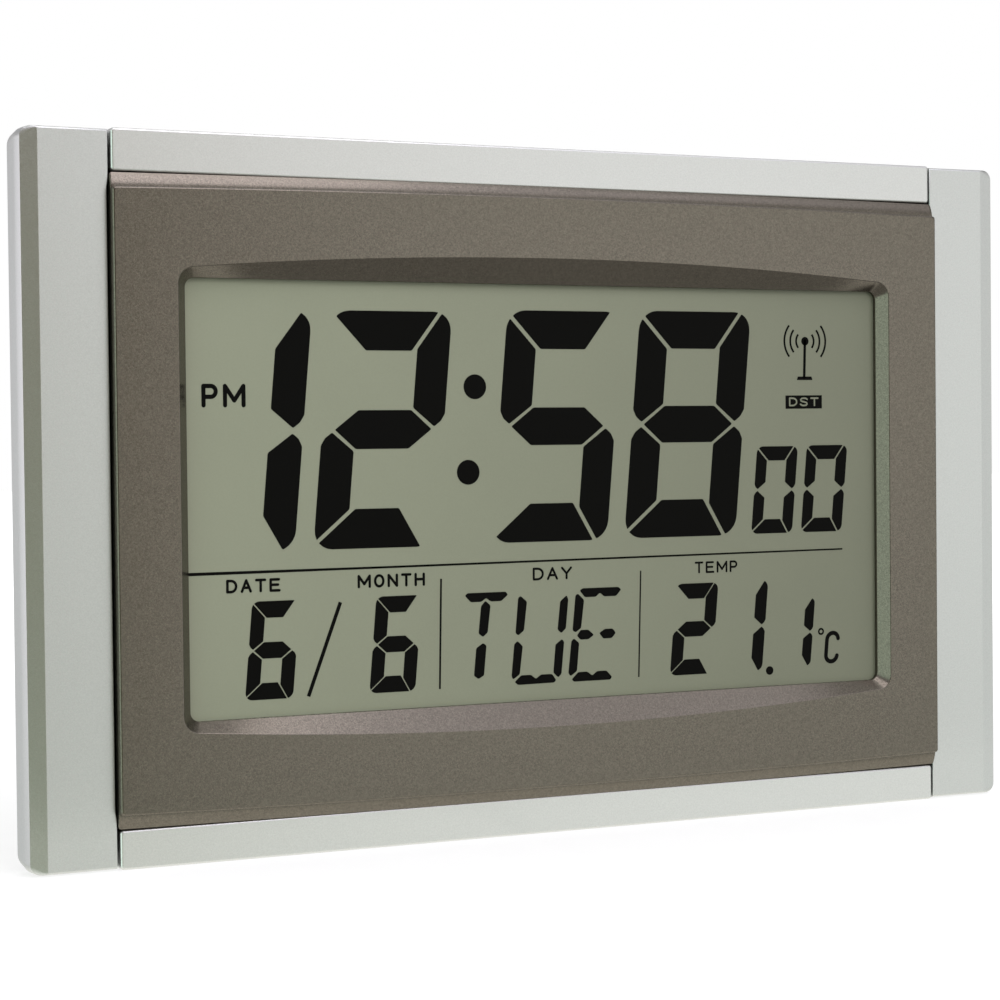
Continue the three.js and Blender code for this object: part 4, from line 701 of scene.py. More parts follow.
class CLOCK_OT_bezel(Operator):
    """Builds the bronze bezel: strips along its top and bottom, a rounded lip, and an arched recess with a window"""

    bl_idname = "clock.bezel"
    bl_label = "Bezel"

    def execute(self, context):
        sizes = context.scene.clock_bezel
        low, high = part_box("bezel")
        glass_low, glass_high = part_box("display_glass")
        edge_bow, face_bow, wall, lip = sizes.edge_bow, sizes.face_bow, sizes.wall, sizes.lip
        corner, seat, glass_gap, soft = 1 * MM, 0.1 * MM, 0.3 * MM, 0.35 * MM
        half_x, half_z = high.x + sizes.side_reach, (high.z - low.z) / 2 + sizes.end_reach
        middle = (high.z + low.z) / 2 - sizes.drop
        face, back, front = low.y, high.y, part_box("top_bar")[0].y

        def at(x, z, radius, bow, y):
            return ring(outline(x, z, radius, bow, edge_steps=40), y, middle)

        rings = [at(half_x, half_z, corner, edge_bow, back)]
        for along in np.linspace(0, 1, 9):
            # The strip rises fast at its outer edge and slower towards the face
            height = sizes.ledge * (1.67 * along - 0.67 * along**2)
            side = half_x - sizes.draft * height / (front - face)
            run = (sizes.strip_width - lip - seat) * along
            bow = edge_bow + (face_bow - edge_bow) * along
            rings.append(at(side, half_z - run, corner, bow, front - seat - height))
        face_x, face_z = half_x - sizes.draft, half_z - sizes.strip_width
        for inset, down in rounded(lip):
            rings.append(at(face_x - inset, face_z + lip - inset, corner, face_bow, face + down))
        recess_x = high.x - sizes.recess_margin_x
        recess_z = (high.z - low.z) / 2 - sizes.recess_margin_z
        window_x, window_z = recess_x - sizes.recess_run_x, recess_z - sizes.recess_run_z
        flange_y = glass_low.y - glass_gap
        recess = (recess_x, recess_z, sizes.recess_corner, sizes.recess_bow, face)
        window = (window_x, window_z, sizes.window_corner, 0, flange_y - sizes.window_lip)
        for (x, z, radius, bow, y), *turns in (
            (recess, (1, 0), (0.4, 0.12), (0, 0.5)),
            (window, (0.25, -0.5), (0, 0), (-0.12, 0.5)),
        ):
            # Each edge is eased over three outlines: how far out and how far down, as shares of the easing
            for out, down in turns:
                rings.append(at(x + soft * out, z + soft * out, radius + soft * out, bow, y + soft * down))
        glass_x, glass_z = glass_high.x + glass_gap, glass_high.z - middle + glass_gap
        inner = face + wall
        rings += [
            at(window_x, window_z, sizes.window_corner, 0, flange_y),
            at(glass_x, glass_z, sizes.window_corner, 0, flange_y),
            at(glass_x + wall, glass_z + wall / 2, sizes.window_corner, sizes.recess_bow, inner),
            at(half_x - wall, face_z - wall, corner, face_bow, inner),
            at(half_x - wall, half_z - wall, corner, edge_bow, front + wall),
            at(half_x - wall, half_z - wall, corner, edge_bow, back),
        ]
        bodies = [stacked(rings, looped=True)]
        post, bore, recess_of_screw = 3.2 * MM, 1.4 * MM, 2.2 * MM
        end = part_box("display_holder")[1].y - recess_of_screw
        for number in range(1, 5):
            screw = sum(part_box(f"holder_screw_{number}"), Vector()) / 2
            profile = [(post, inner - 0.4 * MM), (post, end), (bore, end), (bore, inner + 0.8 * MM)]
            bodies.append(turned(profile, (screw.x, 0, screw.z), steps=24))
        piece("bronze_bezel", bodies, "Bronze paint", stands_for=["bezel"])
        return {"FINISHED"}


def bars(letters, left, low, width, height, thick, upright, gap, radius):
    """The bars of a seven-bar figure as flat polygons. A level bar is the rounded box cut by two mitre lines. An
    upright bar is cut by a mitre line, and comes to a point beside the middle bar, which is a hexagon."""
    u, v = upright / 11.35, thick / 12.65
    middle, half = height / 2, gap / 2
    box = outline(width / 2, middle, radius, corner_steps=6) + (width / 2, middle)
    mitres = {
        "top left": ((2.0 * u, height - 2.7 * v), (12.3 * u, height - 12.8 * v)),
        "top right": ((width - 4.8 * u, height - 1.3 * v), (width - 12.4 * u, height - 12.5 * v)),
        "low left": ((2.0 * u, 3.2 * v), (12.1 * u, 12.4 * v)),
        "low right": ((width - 5.0 * u, 0.7 * v), (width - 12.9 * u, 12.4 * v)),
    }
    point = np.array([(0, 5.0), (1.3, 2.6), (3.5, 0.85), (11.35, 6.9)]) * (u, v) + (0, middle)

    def flipped(points, across, down):
        points = np.array(points, float)
        if across:
            points[:, 0] = width - points[:, 0]
        if down:
            points[:, 1] = height - points[:, 1]
        return points

    shapes = []
    for letter in letters:
        if letter == "a":
            shape = kept_left(box, (0, height - thick), (width, height - thick))
            shape = kept_left(shape, *mitres["top left"], half)
            shape = kept_left(shape, *mitres["top right"][::-1], half)
        elif letter == "d":
            shape = kept_left(box, (width, thick), (0, thick))
            shape = kept_left(shape, *mitres["low left"][::-1], half)
            shape = kept_left(shape, *mitres["low right"], half)
        elif letter == "g":
            lower = np.array([(4.4 * u, 0), (12.0 * u, -6.2 * v), (width - 12.0 * u, -6.2 * v)])
            upper = (width, 0) - lower
            shape = np.concatenate([lower, upper]) + (0, middle)
        else:
            right, down = letter in "bc", letter in "ce"
            mitre = mitres[("low " if down else "top ") + ("right" if right else "left")]
            shape = kept_left(box, (upright, 0), (upright, height))
            shape = kept_left(shape, *flipped(mitre, right, down)[::-1], half)
            for start, end in zip(point[:-1], point[1:]):
                shape = kept_left(shape, start, end)
            shape = flipped(shape, right, down)
            if right != down:
                shape = shape[::-1]
        shapes.append(shape + (left, low))
    return shapes


# Seven-bar figures of each piece: style, bars, left edge, foot, width and height in mm
FIGURES = {
    "time_figures": (
        ("large", "bc", -133.68, 95.81, 42.2, 75.65),
        ("large", "abged", -85.2, 95.95, 42.26, 75.77),
        ("large", "afgcd", -23.07, 96.36, 42.93, 76.25),
        ("large", "abcdefg", 26.44, 96.61, 43.35, 76.5),
    ),
    "seconds_figures": (
        ("seconds", "abcdef", 76.2, 96.85, 16.5, 30.1),
        ("seconds", "abcdef", 96.35, 96.9, 16.75, 30.25),
    ),
    "date_figures": (
        ("small", "acdefg", -108.56, 49.47, 15.95, 30.9),
        ("small", "acdefg", -66.61, 49.47, 15.95, 30.9),
    ),
    "temperature_figures": (
        ("small", "abged", 43.58, 49.47, 16.55, 31.1),
        ("small", "bc", 63.56, 49.47, 16.55, 31.1),
        ("tenths", "bc", 87.5, 50.27, 12.4, 23.5),
    ),
}
# Bars of each style but the large one: thickness of level and upright bars, gap, corner radius, easing, all in mm
STYLES = {
    "seconds": (4.9, 4.3, 0.55, 2.4, 0.2),
    "small": (5.25, 4.6, 0.35, 2.4, 0.2),
    "tenths": (4.2, 3.8, 0.35, 1.8, 0.2),
}
# Bars of the three day letters, in mm on the display
DAY_SHAPES = (
    ((-32.7, 79.5), (-31.7, 80.3), (-17.9, 80.3), (-17.1, 79.3), (-19.6, 77.3), (-23.4, 77.3))
    + ((-25.1, 78.5), (-26.8, 77.3), (-30.6, 77.3)),
    ((-25.3, 77.6), (-23.5, 76.0), (-24.6, 67.2), (-26.3, 65.8), (-27.9, 66.9), (-26.9, 75.9)),
    ((-26.3, 63.8), (-25.1, 62.9), (-26.1, 53.2), (-28.1, 52.1), (-29.7, 53.2), (-28.8, 62.2)),
    ((-12.5, 78.7), (-10.2, 76.7), (-11.4, 67.3), (-13.5, 65.7), (-14.5, 66.5), (-13.4, 78.1)),
    ((-13.8, 63.9), (-11.9, 62.1), (-13.1, 52.9), (-15.5, 51.3), (-16.1, 52.3), (-15.0, 62.9)),
    ((-15.0, 50.4), (-12.6, 52.5), (-9.0, 52.5), (-7.2, 51.1), (-5.3, 52.4), (-1.2, 52.4))
    + ((0.3, 50.3), (-0.4, 49.5), (-13.8, 49.4)),
    ((4.5, 78.3), (5.1, 77.0), (4.1, 67.3), (2.4, 65.8), (1.0, 67.0), (2.1, 76.4)),
    ((2.6, 63.8), (3.4, 62.9), (2.3, 52.3), (1.1, 51.1), (-0.7, 52.8), (0.2, 62.1)),
    ((9.4, 79.7), (10.5, 80.4), (24.0, 80.4), (25.1, 79.5), (23.1, 77.4), (18.6, 77.4))
    + ((17.0, 78.7), (15.4, 77.4), (11.3, 77.4)),
    ((8.7, 78.7), (11.0, 76.5), (9.8, 67.2), (7.7, 65.8), (6.6, 66.5), (7.8, 78.1)),
    ((7.1, 63.8), (9.0, 62.2), (8.1, 52.9), (5.7, 51.3), (4.9, 52.3), (6.1, 62.9)),
    ((8.2, 64.7), (9.6, 66.5), (12.5, 66.5), (14.6, 64.7), (12.5, 63.3), (9.5, 63.3)),
    ((16.6, 65.2), (18.8, 66.5), (21.7, 66.5), (22.9, 65.0), (21.3, 63.3), (18.1, 63.3)),
    ((6.1, 50.2), (8.6, 52.5), (12.0, 52.5), (13.8, 51.1), (15.7, 52.5), (19.2, 52.5))
    + ((21.3, 50.3), (20.6, 49.4), (6.9, 49.4)),
)


def bowl(left, right, low, high, reach):
    """A letter's bowl: along the top, round a half ellipse, and back along the bottom."""
    middle, half = (low + high) / 2, (high - low) / 2
    turn = np.linspace(np.pi / 2, -np.pi / 2, 13)
    curve = np.stack([reach + (right - reach) * np.cos(turn), middle + half * np.sin(turn)], 1)
    return np.concatenate([[(left, high)], curve, [(left, low)]])


# Strokes of each letter, in a box of one by one
LETTERS = {
    "A": ([(0, 0), (0.5, 1)], [(0.5, 1), (1, 0)], [(0.2, 0.34), (0.8, 0.34)]),
    "D": ([(0, 0), (0, 1)], bowl(0, 1, 0, 1, 0.4)),
    "E": ([(0, 0), (0, 1)], [(0, 1), (0.95, 1)], [(0, 0.52), (0.85, 0.52)], [(0, 0), (1, 0)]),
    "H": ([(0, 0), (0, 1)], [(1, 0), (1, 1)], [(0, 0.52), (1, 0.52)]),
    "M": ([(0, 0), (0, 1)], [(0, 1), (0.5, 0.25)], [(0.5, 0.25), (1, 1)], [(1, 1), (1, 0)]),
    "N": ([(0, 0), (0, 1)], [(0, 1), (1, 0)], [(1, 0), (1, 1)]),
    "O": (arc((0.5, 0.5), 0.5, 90, 449, 29),),
    "P": ([(0, 0), (0, 1)], bowl(0, 1, 0.44, 1, 0.6)),
    "S": (
        [(0.98, 0.84), (0.78, 0.98), (0.5, 1), (0.2, 0.96), (0.04, 0.8), (0.1, 0.62), (0.3, 0.55), (0.5, 0.51)]
        + [(0.72, 0.45), (0.92, 0.36), (0.97, 0.2), (0.82, 0.04), (0.5, 0), (0.22, 0.03), (0.02, 0.17)],
    ),
    "T": ([(0, 1), (1, 1)], [(0.5, 1), (0.5, 0)]),
    "Y": ([(0, 1), (0.5, 0.46)], [(1, 1), (0.5, 0.46)], [(0.5, 0.46), (0.5, 0)]),
}
LETTER_WIDTHS = {"M": 1.25, "P": 0.9}
LETTER_GAP = 0.28
# Words on the display: piece, word, left, right, foot and top in mm, and the width of the pen
WORDS = (
    ("label_date", "DATE", -114.3, -96.3, 83.2, 87.5, 0.85),
    ("label_month", "MONTH", -70.25, -46.8, 83.25, 87.55, 0.85),
    ("label_day", "DAY", -7.98, 6.6, 83.6, 87.85, 0.75),
    ("label_temp", "TEMP", 53.65, 70.5, 83.9, 87.9, 0.68),
    ("label_afternoon", "PM", -121.5, -107.1, 141.05, 148.4, 1.35),
    ("label_summer_time", "DST", 91.9, 104.0, 140.75, 143.85, 0.55),
)


def written(word, x0, x1, z0, z1, width, front, back):
    """A plain word as pen strokes. Each stroke stands off the one before by a hair, so that no two fronts meet."""
    widths = np.array([LETTER_WIDTHS.get(letter, 1.0) for letter in word])
    unit = (x1 - x0) / (widths.sum() + LETTER_GAP * (len(word) - 1))
    starts = x0 + unit * (np.cumsum(widths) - widths + LETTER_GAP * np.arange(len(word)))
    hair = 0.0012 * MM
    bodies = []
    for letter, left, wide in zip(word, starts, widths):
        size = np.array([unit * wide - width, z1 - z0 - width])
        for path in LETTERS[letter]:
            line = np.array(path, float) * size + (left + width / 2, z0 + width / 2)
            bodies.append(prism(stroke(line, width) * MM, front - hair * len(bodies), back))
    return bodies


class CLOCK_OT_display(Operator):
    """Gives the display glass its ground, and builds the time, the seconds, the date, the day and the temperature"""

    bl_idname = "clock.display"
    bl_label = "Display"

    def execute(self, context):
        sizes = context.scene.clock_figures
        wear("Display ground", "display_glass")
        wear("Reflector film", "display_reflector")
        ground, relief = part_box("display_glass")[0].y, sizes.relief
        front, back = ground - relief, ground + 0.05 * MM
        large = [value / MM for value in (sizes.bar_height, sizes.bar_width, sizes.gap, sizes.corner)]
        styles = {"large": (*large, 0.5), **STYLES}

        def raised(shapes, ease=0.0, foot=None):
            """Outlines in mm as thin prisms on the glass, with eased corners. With a foot, they lean about it."""
            bodies = []
            for shape in shapes:
                points = softened(shape, ease)
                if foot is not None:
                    points[:, 0] += sizes.slant * (points[:, 1] - foot)
                bodies.append(prism(points * MM, front, back))
            return bodies

        def figures(name):
            bodies = []
            for style, letters, left, foot, width, height in FIGURES[name]:
                *bar_sizes, ease = styles[style]
                bodies += raised(bars(letters, left, foot, width, height, *bar_sizes), ease, foot)
            return bodies

        def dot(x, z, radius):
            return arc((x, z), radius, 0, 345, 23)

        celsius = np.concatenate([arc((108.9, 58.9), 2.3, 8, 180, 12), arc((108.9, 53.5), 2.3, 180, 352, 12)])
        celsius[:, 0] += sizes.slant * (celsius[:, 1] - 56.2)
        washer = ((0.6, front), (1.25, front), (1.25, back), (0.6, back))
        degree = stacked([ring(dot(104.38, 61.9, radius) * MM, y) for radius, y in washer], looped=True)
        rules = [
            [(-126.7, 89.0), (113.5, 90.32), (113.5, 90.88), (-60.0, 90.05), (-126.7, 90.0)],
            ribbon([(-41.1, 85.35), (-41.94, 49.57)], 0.64),
            ribbon([(32.62, 85.55), (31.54, 49.67)], 0.5),
        ]
        mast = (98.6, 163.4)
        waves = [(radius, turn) for radius in (3.6, 6.0, 8.4) for turn in (0, 180)]
        signs = [
            ribbon([(98.2, 150.6), (98.6, 164.0)], 1.0),
            [(95.2, 149.9), (101.6, 149.9), (101.2, 151.1), (95.6, 151.1)],
            *[ribbon(arc(mast, radius, turn - 40, turn + 40, 14), 0.7) for radius, turn in waves],
            [(90.5, 139.9), (105.4, 140.0), (105.4, 144.6), (90.5, 144.5)],
        ]
        pieces = {
            "time_figures": figures("time_figures"),
            "colon": raised([arc(centre, 4.05, 0, 350, 35) for centre in ((-28.3, 147.5), (-31.0, 119.7))]),
            "seconds_figures": figures("seconds_figures"),
            "date_figures": figures("date_figures") + raised([ribbon([(-76.2, 79.07), (-87.4, 49.67)], 1.22)], 0.1),
            "temperature_figures": figures("temperature_figures")
            + raised([dot(83.22, 49.27, 1.5), stroke(celsius, 1.5)])
            + [degree],
            "day_letters": raised(DAY_SHAPES, 0.5),
            "dividing_lines": raised(rules, 0.05),
            "reception_sign": raised(signs, 0.05) + raised([dot(*mast, 1.5)]),
        }
        for name, bodies in pieces.items():
            piece(name, bodies, "Figure ink")
        for name, word, *box in WORDS:
            # The badge's word is light, and stands on the dark badge
            light = word == "DST"
            depths = (ground - 1.6 * relief, ground - 0.5 * relief) if light else (front, ground + relief)
            bodies = written(word, *box, *depths)
            piece(name, bodies, "Display ground" if light else "Figure ink")
        return {"FINISHED"}


class CLOCK_OT_rear(Operator):
    """Gives the rear cover, the stand and the battery door rounded edges and moulded plastic"""

    bl_idname = "clock.rear"
    bl_label = "Rear cover, stand and battery door"

    def execute(self, context):
        for name, original, width, body, rules in (
            ("rear_shell", "rear_cover", 0.25 * MM, "root", {"hidden_side": True, "clear_of": FEET}),
            ("stand_flap", "stand", 0.4 * MM, "stand", {}),
            ("battery_lid", "battery_door", 0.3 * MM, "battery_door", {"hidden_side": True}),
        ):
            eased_copy(name, original, "Grey plastic", width, "grey_plastic", body, **rules)
        wear("Black plastic", "front_housing")
        return {"FINISHED"}


class CLOCK_OT_buttons(Operator):
    """Builds the five push buttons with dished tops"""

    bl_idname = "clock.buttons"
    bl_label = "Push buttons"

    def execute(self, context):
        for name in BUTTONS:
            button = name + "_button"
            low, high = (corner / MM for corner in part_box(button))
            middle = (low + high) / 2
            top, flange, radius, stem = high.y, (high.x - low.x) / 2, 4, 2
            flange_back, flange_front = top - 3.8, top - 5.4
            stalk = [(stem - 0.4, low.y), (stem, low.y + 0.4), (stem, flange_front)]
            disc = [(flange, flange_front), (flange, flange_back), (radius, flange_back), (radius, top - 0.6)]
            rim = [(radius - 0.06, top - 0.36), (radius - 0.22, top - 0.14), (radius - 0.5, top)]
            dish = [(radius - 0.9, top - 0.06), (radius * 0.5, top - 0.28), (radius * 0.2, top - 0.34)]
            profile = np.array([*stalk, *disc, *rim, *dish, (0.2, top - 0.36)])
            cap = turned(profile * MM, (middle.x * MM, 0, middle.z * MM), steps=64)
            piece(name + "_cap", [cap], "Black plastic", body=button, stands_for=[button])
        return {"FINISHED"}


def screw_body(low, high, head_height):
    """Pan head with a cross recess: a polar grid whose height is a dome, less a cross-shaped pit with sloping
    walls, over a threaded shank whose radius swings like a cosine along its length."""
    x, z = (low.x + high.x) / 2, (low.z + high.z) / 2
    head, seat = (high.x - low.x) / 2, high.y - head_height
    slim, reach, slope, pit, pitch = 0.13 * head, 0.6 * head, 0.12 * head, 0.62 * head_height, 0.55 * MM
    turn = np.linspace(0, 2 * np.pi, 72, endpoint=False)
    share_out = np.linspace(0.04, 1, 22)[:, None]
    across, up = share_out * head * np.cos(turn), share_out * head * np.sin(turn)

    def slot(along, beside):
        """1 in one slot of the cross, and down to 0 over its sloping walls."""
        width = np.clip((1.6 * slim - np.abs(beside)) / (0.7 * slim), 0, 1)
        return width * np.clip((reach - np.abs(along)) / slope, 0, 1)

    dome = head_height * (1 - 0.5 * share_out**2.2) * np.where(share_out > 0.97, 0.92, 1)
    dome = dome - pit * np.maximum(slot(across, up), slot(up, across))
    crown = np.stack([across + x, seat + dome, up + z], -1)
    edge = crown[-1:] * (1, 0, 1) + (0, seat, 0)
    along = np.linspace(0, 1, 60)[:, None]
    depth = along * (seat - low.y)
    swell = 0.48 * head * (0.9 + 0.1 * np.cos(depth / pitch * 2 * np.pi)) * np.clip((1 - along) * 8, 0.12, 1)
    shank = np.stack([x + swell * np.cos(turn), seat - depth + 0 * turn, z + swell * np.sin(turn)], -1)
    return stacked(np.concatenate([crown, edge, shank]))


class CLOCK_OT_screws(Operator):
    """Builds every screw with a domed head, a cross recess and a thread"""

    bl_idname = "clock.screws"
    bl_label = "Screws"

    def execute(self, context):
        for kind, count, head_height in (("cover", 6, 1.9), ("holder", 4, 1.4), ("board", 4, 1.4)):
            for number in range(1, count + 1):
                name = f"{kind}_screw_{number}"
                body = screw_body(*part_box(name), head_height * MM)
                piece("cross_" + name, [body], "Bright steel", stands_for=[name])
        return {"FINISHED"}


class CLOCK_OT_batteries(Operator):
    """Builds the two cells, and gives their contacts a plated finish"""

    bl_idname = "clock.batteries"
    bl_label = "Cells and contacts"

    def execute(self, context):
        for name, facing in (("upper_cell", 1), ("lower_cell", -1)):
            low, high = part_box(name)
            radius, half = (high.z - low.z) / 2 / MM, (high.x - low.x) / 2 / MM
            shoulder = half - 1
            # Share of the radius and distance from the end, at the flat base and round the shoulder
            base = [(0, 0.25), (0.45, 0.25), (0.5, 0), (0.82, 0), (0.86, 0.3), (0.93, 0.3), (0.98, 0.5), (1, 0.9)]
            top = [(1, 0.9), (0.985, 0.45), (0.94, 0.15), (0.86, 0), (0.8, 0.3), (0.42, 0.3)]
            profile = [(max(0.3, radius * share), inset - half) for share, inset in base]
            profile += [(radius * share, shoulder - inset) for share, inset in top]
            profile += [(2.75, shoulder), (2.7, half - 0.25), (2.45, half), (0.3, half)]
            cell = turned(np.array(profile) * (MM, facing * MM), (low + high) / 2, axis="x", steps=72)
            sleeve = cell_material(context.scene.clock_colours, low.x, high.x, facing)
            piece(name + "_sleeved", [cell], sleeve, stands_for=[name])
        wear("Bright steel", "battery_link", "negative_contact", "positive_contact")
        return {"FINISHED"}


class CLOCK_OT_inner_works(Operator):
    """Gives the pieces inside the case their finishes"""

    bl_idname = "clock.inner_works"
    bl_label = "Inner works"

    def execute(self, context):
        wear("White plastic", "display_holder", "left_antenna_clip", "right_antenna_clip")
        wear("Pink rubber", "contact_strip")
        wear("Circuit board", "main_board", "receiver_board")
        wear("Black plastic", "controller_chip", "receiver_chip", "temperature_sensor")
        wear("Bright steel", "clock_crystal", *(name + "_switch" for name in BUTTONS))
        wear("Ferrite", "ferrite_rod")
        wear("Copper wire", "antenna_coil", "antenna_lead")
        wear("Red lead", "positive_lead")
        wear("Black lead", "negative_lead", "receiver_lead")
        wear("Foot rubber", *FEET)
        return {"FINISHED"}


# Soft zones of the studio: name, direction, angle of the even part and of the outer edge, tint, strength
ZONES = (
    ("front wall", (0.4, -0.915, 0.09), 4, 20, (1.0, 1.0, 0.99), 0.58),
    ("right wall", (0.85, -0.53, 0.0), 8, 30, (1.0, 1.0, 1.0), 0.2),
    ("upper front", (0.27, -0.66, 0.7), 9, 27, (0.97, 0.94, 1.1), 1.3),
    ("left glow", (-0.9, -0.436, 0.05), 16, 36, (0.62, 1.0, 0.82), 1.0),
    ("back left", (-0.64, 0.77, 0.05), 5, 17, (1.0, 0.94, 1.03), 1.0),
    ("above", (0.1, -0.12, 0.99), 8, 22, (1.0, 0.96, 1.02), 0.5),
    ("low left", (-0.1, -0.9, -0.42), 8, 31, (0.62, 1.0, 0.74), 0.36),
)
# Where the studio is darker: direction, angle of the dark part and of the outer edge, share of light left
SHADES = (
    ((-0.14, -0.99, 0.06), 17, 31, (0.15, 0.105, 0.02)),
    ((0.9, 0.44, 0.0), 20, 60, (0.35, 0.35, 0.35)),
    ((-0.24, 0.97, 0.0), 25, 60, (0.81, 0.8, 0.83)),
)
# Even light by height: sine of the elevation, and the light there
LEVELS = (
    (-1.0, (0.4, 0.42, 0.38)),
    (-0.62, (0.4, 0.42, 0.38)),
    (-0.25, (1.01, 1.05, 1.0)),
    (0.0, (1.0, 1.01, 0.985)),
    (0.28, (0.86, 0.84, 0.83)),
    (0.4, (0.68, 0.67, 0.67)),
    (0.6, (0.66, 0.65, 0.66)),
    (1.0, (1.0, 1.0, 1.0)),
)
WHITE = (1, 1, 1, 1)


def studio_world(strength):
    """Soft light from all round. Each zone's amount is a smooth step of the cosine between a ray and the zone's
    direction. Bright zones add to the even light, shades multiply it, and the camera itself sees plain white."""
    world = bpy.data.worlds.new("Studio")
    bpy.context.scene.world = world
    world.use_nodes = True
    tree = world.node_tree
    tree.nodes.clear()
    towards = node(tree, "TexCoord").outputs["Generated"]

    def amount(direction, inner, outer, high=1.0):
        unit = tuple(Vector(direction).normalized())
        cosine = node(tree, "VectorMath", {0: towards, 1: unit}, operation="DOT_PRODUCT").outputs["Value"]
        start, end = math.cos(math.radians(outer)), math.cos(math.radians(inner))
        return ranged(tree, cosine, start, end, high=high, kind="SMOOTHSTEP")

    ramp = node(tree, "ValToRGB", {"Fac": ranged(tree, part_of(tree, towards, "Z"), -1.0, 1.0)})
    stops = ramp.color_ramp.elements
    for number, (sine, light) in enumerate(LEVELS):
        stop = stops[number] if number < 2 else stops.new((sine + 1) / 2)
        stop.position = (sine + 1) / 2
        stop.color = (*light, 1)
    colour = ramp.outputs["Color"]
    for *where, left in SHADES:
        colour = blended(tree, amount(*where), colour, (*left, 1), "MULTIPLY")
    for _, *where, hue, power in ZONES:
        glow = scaled(tree, hue, amount(*where, power))
        colour = node(tree, "VectorMath", {0: colour, 1: glow}, operation="ADD").outputs[0]
    lit = node(tree, "Background", {"Color": colour, "Strength": strength}).outputs[0]
    white = node(tree, "Background", {"Color": WHITE, "Strength": 1.0}).outputs[0]
    seen = node(tree, "LightPath").outputs["Is Camera Ray"]
    both = node(tree, "MixShader", {0: seen, 1: lit, 2: white}).outputs[0]
    node(tree, "OutputWorld", {"Surface": both})


def floor_material():
    """Pale floor with a slight polish. The camera sees it take shadows near the object and turn to plain white
    further out. Metal sees it dim from above, with a bright sheet at the foot of the object, and at a low angle it
    mirrors the studio."""
    made = bpy.data.materials.new("Pale floor")
    made.use_nodes = True
    tree = made.node_tree
    tree.nodes.clear()
    place = on_object(tree)
    near_radius, far_radius, sheet_start, sheet_end = 0.35, 1.1, -0.065, -0.042
    away = node(tree, "VectorMath", {0: place}, operation="LENGTH").outputs["Value"]
    far = ranged(tree, away, near_radius, far_radius, 0.7, 1.0, "SMOOTHSTEP")
    path = node(tree, "LightPath")
    seen = maths(tree, "MULTIPLY", far, path.outputs["Is Camera Ray"])
    tone = ranged(tree, noise(tree, place, 60.0, 3.0), 0.3, 0.7, 0.37, 0.39)
    matt = node(tree, "BsdfDiffuse", {"Color": tone}).outputs[0]
    glow = node(tree, "Emission", {"Color": WHITE, "Strength": seen}).outputs[0]
    both = node(tree, "AddShader", {0: matt, 1: glow}).outputs[0]
    facing = node(tree, "LayerWeight", {"Blend": 0.5}).outputs["Facing"]
    low_angle = ranged(tree, facing, 0.45, 0.85, kind="SMOOTHSTEP")
    sheet = ranged(tree, part_of(tree, place, "Y"), sheet_start, sheet_end, 0.44, 1.25, "SMOOTHSTEP")
    steep = node(tree, "Emission", {"Color": (1.0, 0.99, 0.93, 1), "Strength": sheet}).outputs[0]
    mirrored = node(tree, "BsdfTransparent").outputs[0]
    polish = node(tree, "MixShader", {0: low_angle, 1: steep, 2: mirrored}).outputs[0]
    whole = node(tree, "MixShader", {0: path.outputs["Is Glossy Ray"], 1: both, 2: polish}).outputs[0]
    node(tree, "OutputMaterial", {"Surface": whole})
    return made


def lamp(name, power, size, place, target, colour=(1, 1, 1)):
    """A soft square lamp that points at a target."""
    light = bpy.data.lights.new(name, "AREA")
    light.energy = power
    light.size = size
    light.color = colour
    made = bpy.data.objects.new(name, light)
    made.location = place
    made.rotation_euler = (Vector(target) - Vector(place)).to_track_quat("-Z", "Y").to_euler()
    bpy.context.scene.collection.objects.link(made)
    return made


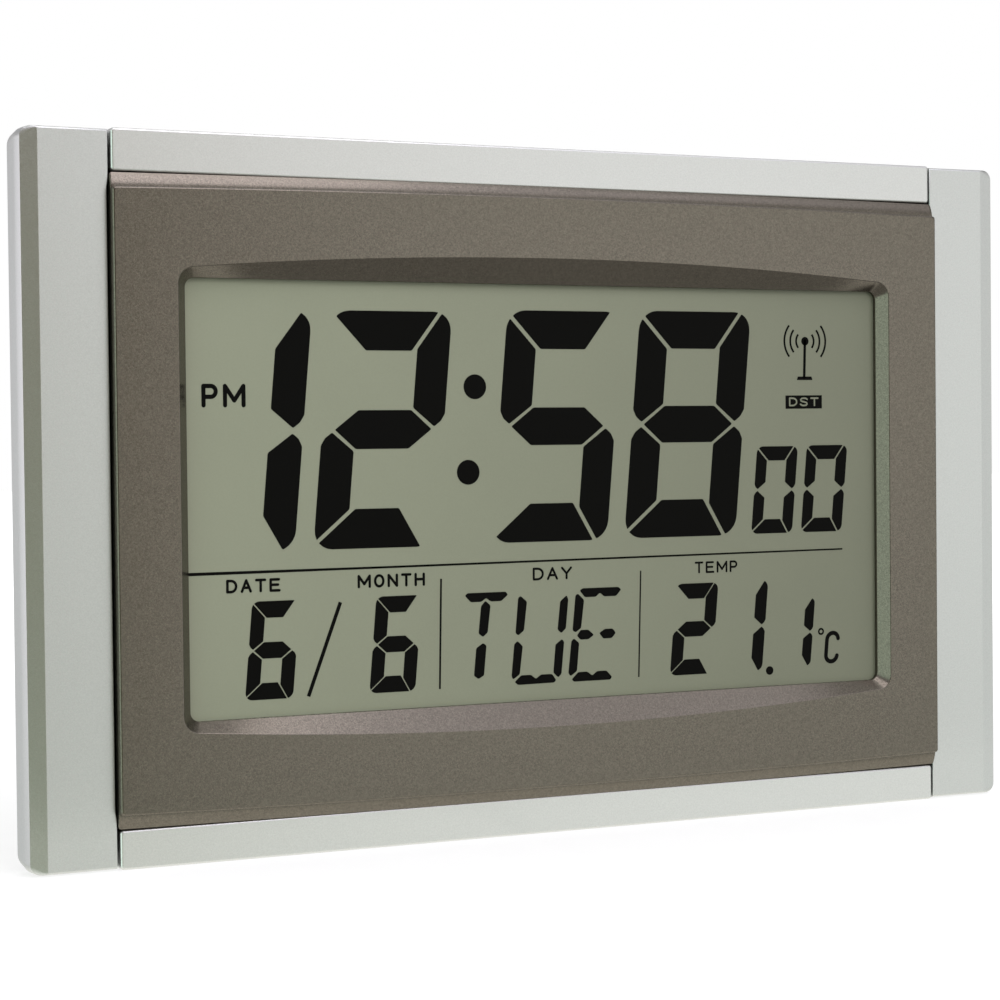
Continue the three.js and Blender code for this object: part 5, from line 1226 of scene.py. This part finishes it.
class CLOCK_OT_stage(Operator):
    """Sets up the floor, the light and the camera"""

    bl_idname = "clock.stage"
    bl_label = "Stage"

    def execute(self, context):
        sizes = context.scene.clock_stage
        half = sizes.floor_size / 2
        mesh = bpy.data.meshes.new("floor")
        mesh.from_pydata([(-half, -half, 0), (half, -half, 0), (half, half, 0), (-half, half, 0)], [], [(0, 1, 2, 3)])
        mesh.materials.append(floor_material())
        floor = bpy.data.objects.new("floor", mesh)
        context.scene.collection.objects.link(floor)
        studio_world(sizes.sky)
        fill = lamp("fill_lamp", sizes.fill, size=1.6, place=(1.5, -1.9, 0.9), target=(0, 0, 0.11))
        fill.visible_glossy = False
        pinkish = (0.99, 0.92, 1.0)
        lamp("softbox", sizes.softbox, size=0.42, place=(-0.03, -0.4, 0.62), target=(-0.03, -0.1, 0.15), colour=pinkish)
        lamp("rear_lamp", sizes.rear, size=1.2, place=(0.7, 1.6, 0.9), target=(0, 0.03, 0.11))
        camera = bpy.data.objects.new("camera", bpy.data.cameras.new("camera"))
        camera.data.lens = sizes.lens
        camera.data.sensor_width = 36
        camera.data.clip_start = 0.01
        turns = (-sizes.yaw, "Z"), (math.pi / 2 + sizes.pitch, "X"), (sizes.roll, "Z")
        camera.matrix_world = Matrix.Translation(sizes.place)
        for turn, axis in turns:
            camera.matrix_world @= Matrix.Rotation(turn, 4, axis)
        context.scene.collection.objects.link(camera)
        context.scene.camera = camera
        context.scene.view_settings.view_transform = "Standard"
        return {"FINISHED"}


class CLOCK_PT_panel(Panel):
    """Lists the pieces of the clock and their sizes and colours"""

    bl_idname = "CLOCK_PT_panel"
    bl_label = "Clock"
    bl_space_type = "VIEW_3D"
    bl_region_type = "UI"
    bl_category = "Clock"

    def draw(self, context):
        for operator in OPERATORS:
            self.layout.operator(operator.bl_idname)
        for attribute, group_class in GROUPS.items():
            box = self.layout.box()
            values = getattr(context.scene, attribute)
            for key in group_class.__annotations__:
                box.prop(values, key)


OPERATORS = (
    CLOCK_OT_materials,
    CLOCK_OT_stage,
    CLOCK_OT_surround,
    CLOCK_OT_bezel,
    CLOCK_OT_display,
    CLOCK_OT_rear,
    CLOCK_OT_buttons,
    CLOCK_OT_screws,
    CLOCK_OT_batteries,
    CLOCK_OT_inner_works,
)
GROUPS = {
    "clock_surround": ClockSurround,
    "clock_bars": ClockBars,
    "clock_bezel": ClockBezel,
    "clock_figures": ClockFigures,
    "clock_colours": ClockColours,
    "clock_stage": ClockStage,
}


def register():
    for attribute, group_class in GROUPS.items():
        bpy.utils.register_class(group_class)
        setattr(bpy.types.Scene, attribute, PointerProperty(type=group_class))
    for operator in (*OPERATORS, CLOCK_PT_panel):
        bpy.utils.register_class(operator)


def unregister():
    for operator in (CLOCK_PT_panel, *reversed(OPERATORS)):
        bpy.utils.unregister_class(operator)
    for attribute, group_class in GROUPS.items():
        delattr(bpy.types.Scene, attribute)
        bpy.utils.unregister_class(group_class)


def main():
    register()
    for operator in OPERATORS:
        family, name = operator.bl_idname.split(".")
        getattr(getattr(bpy.ops, family), name)()


if __name__ == "__main__":
    main()
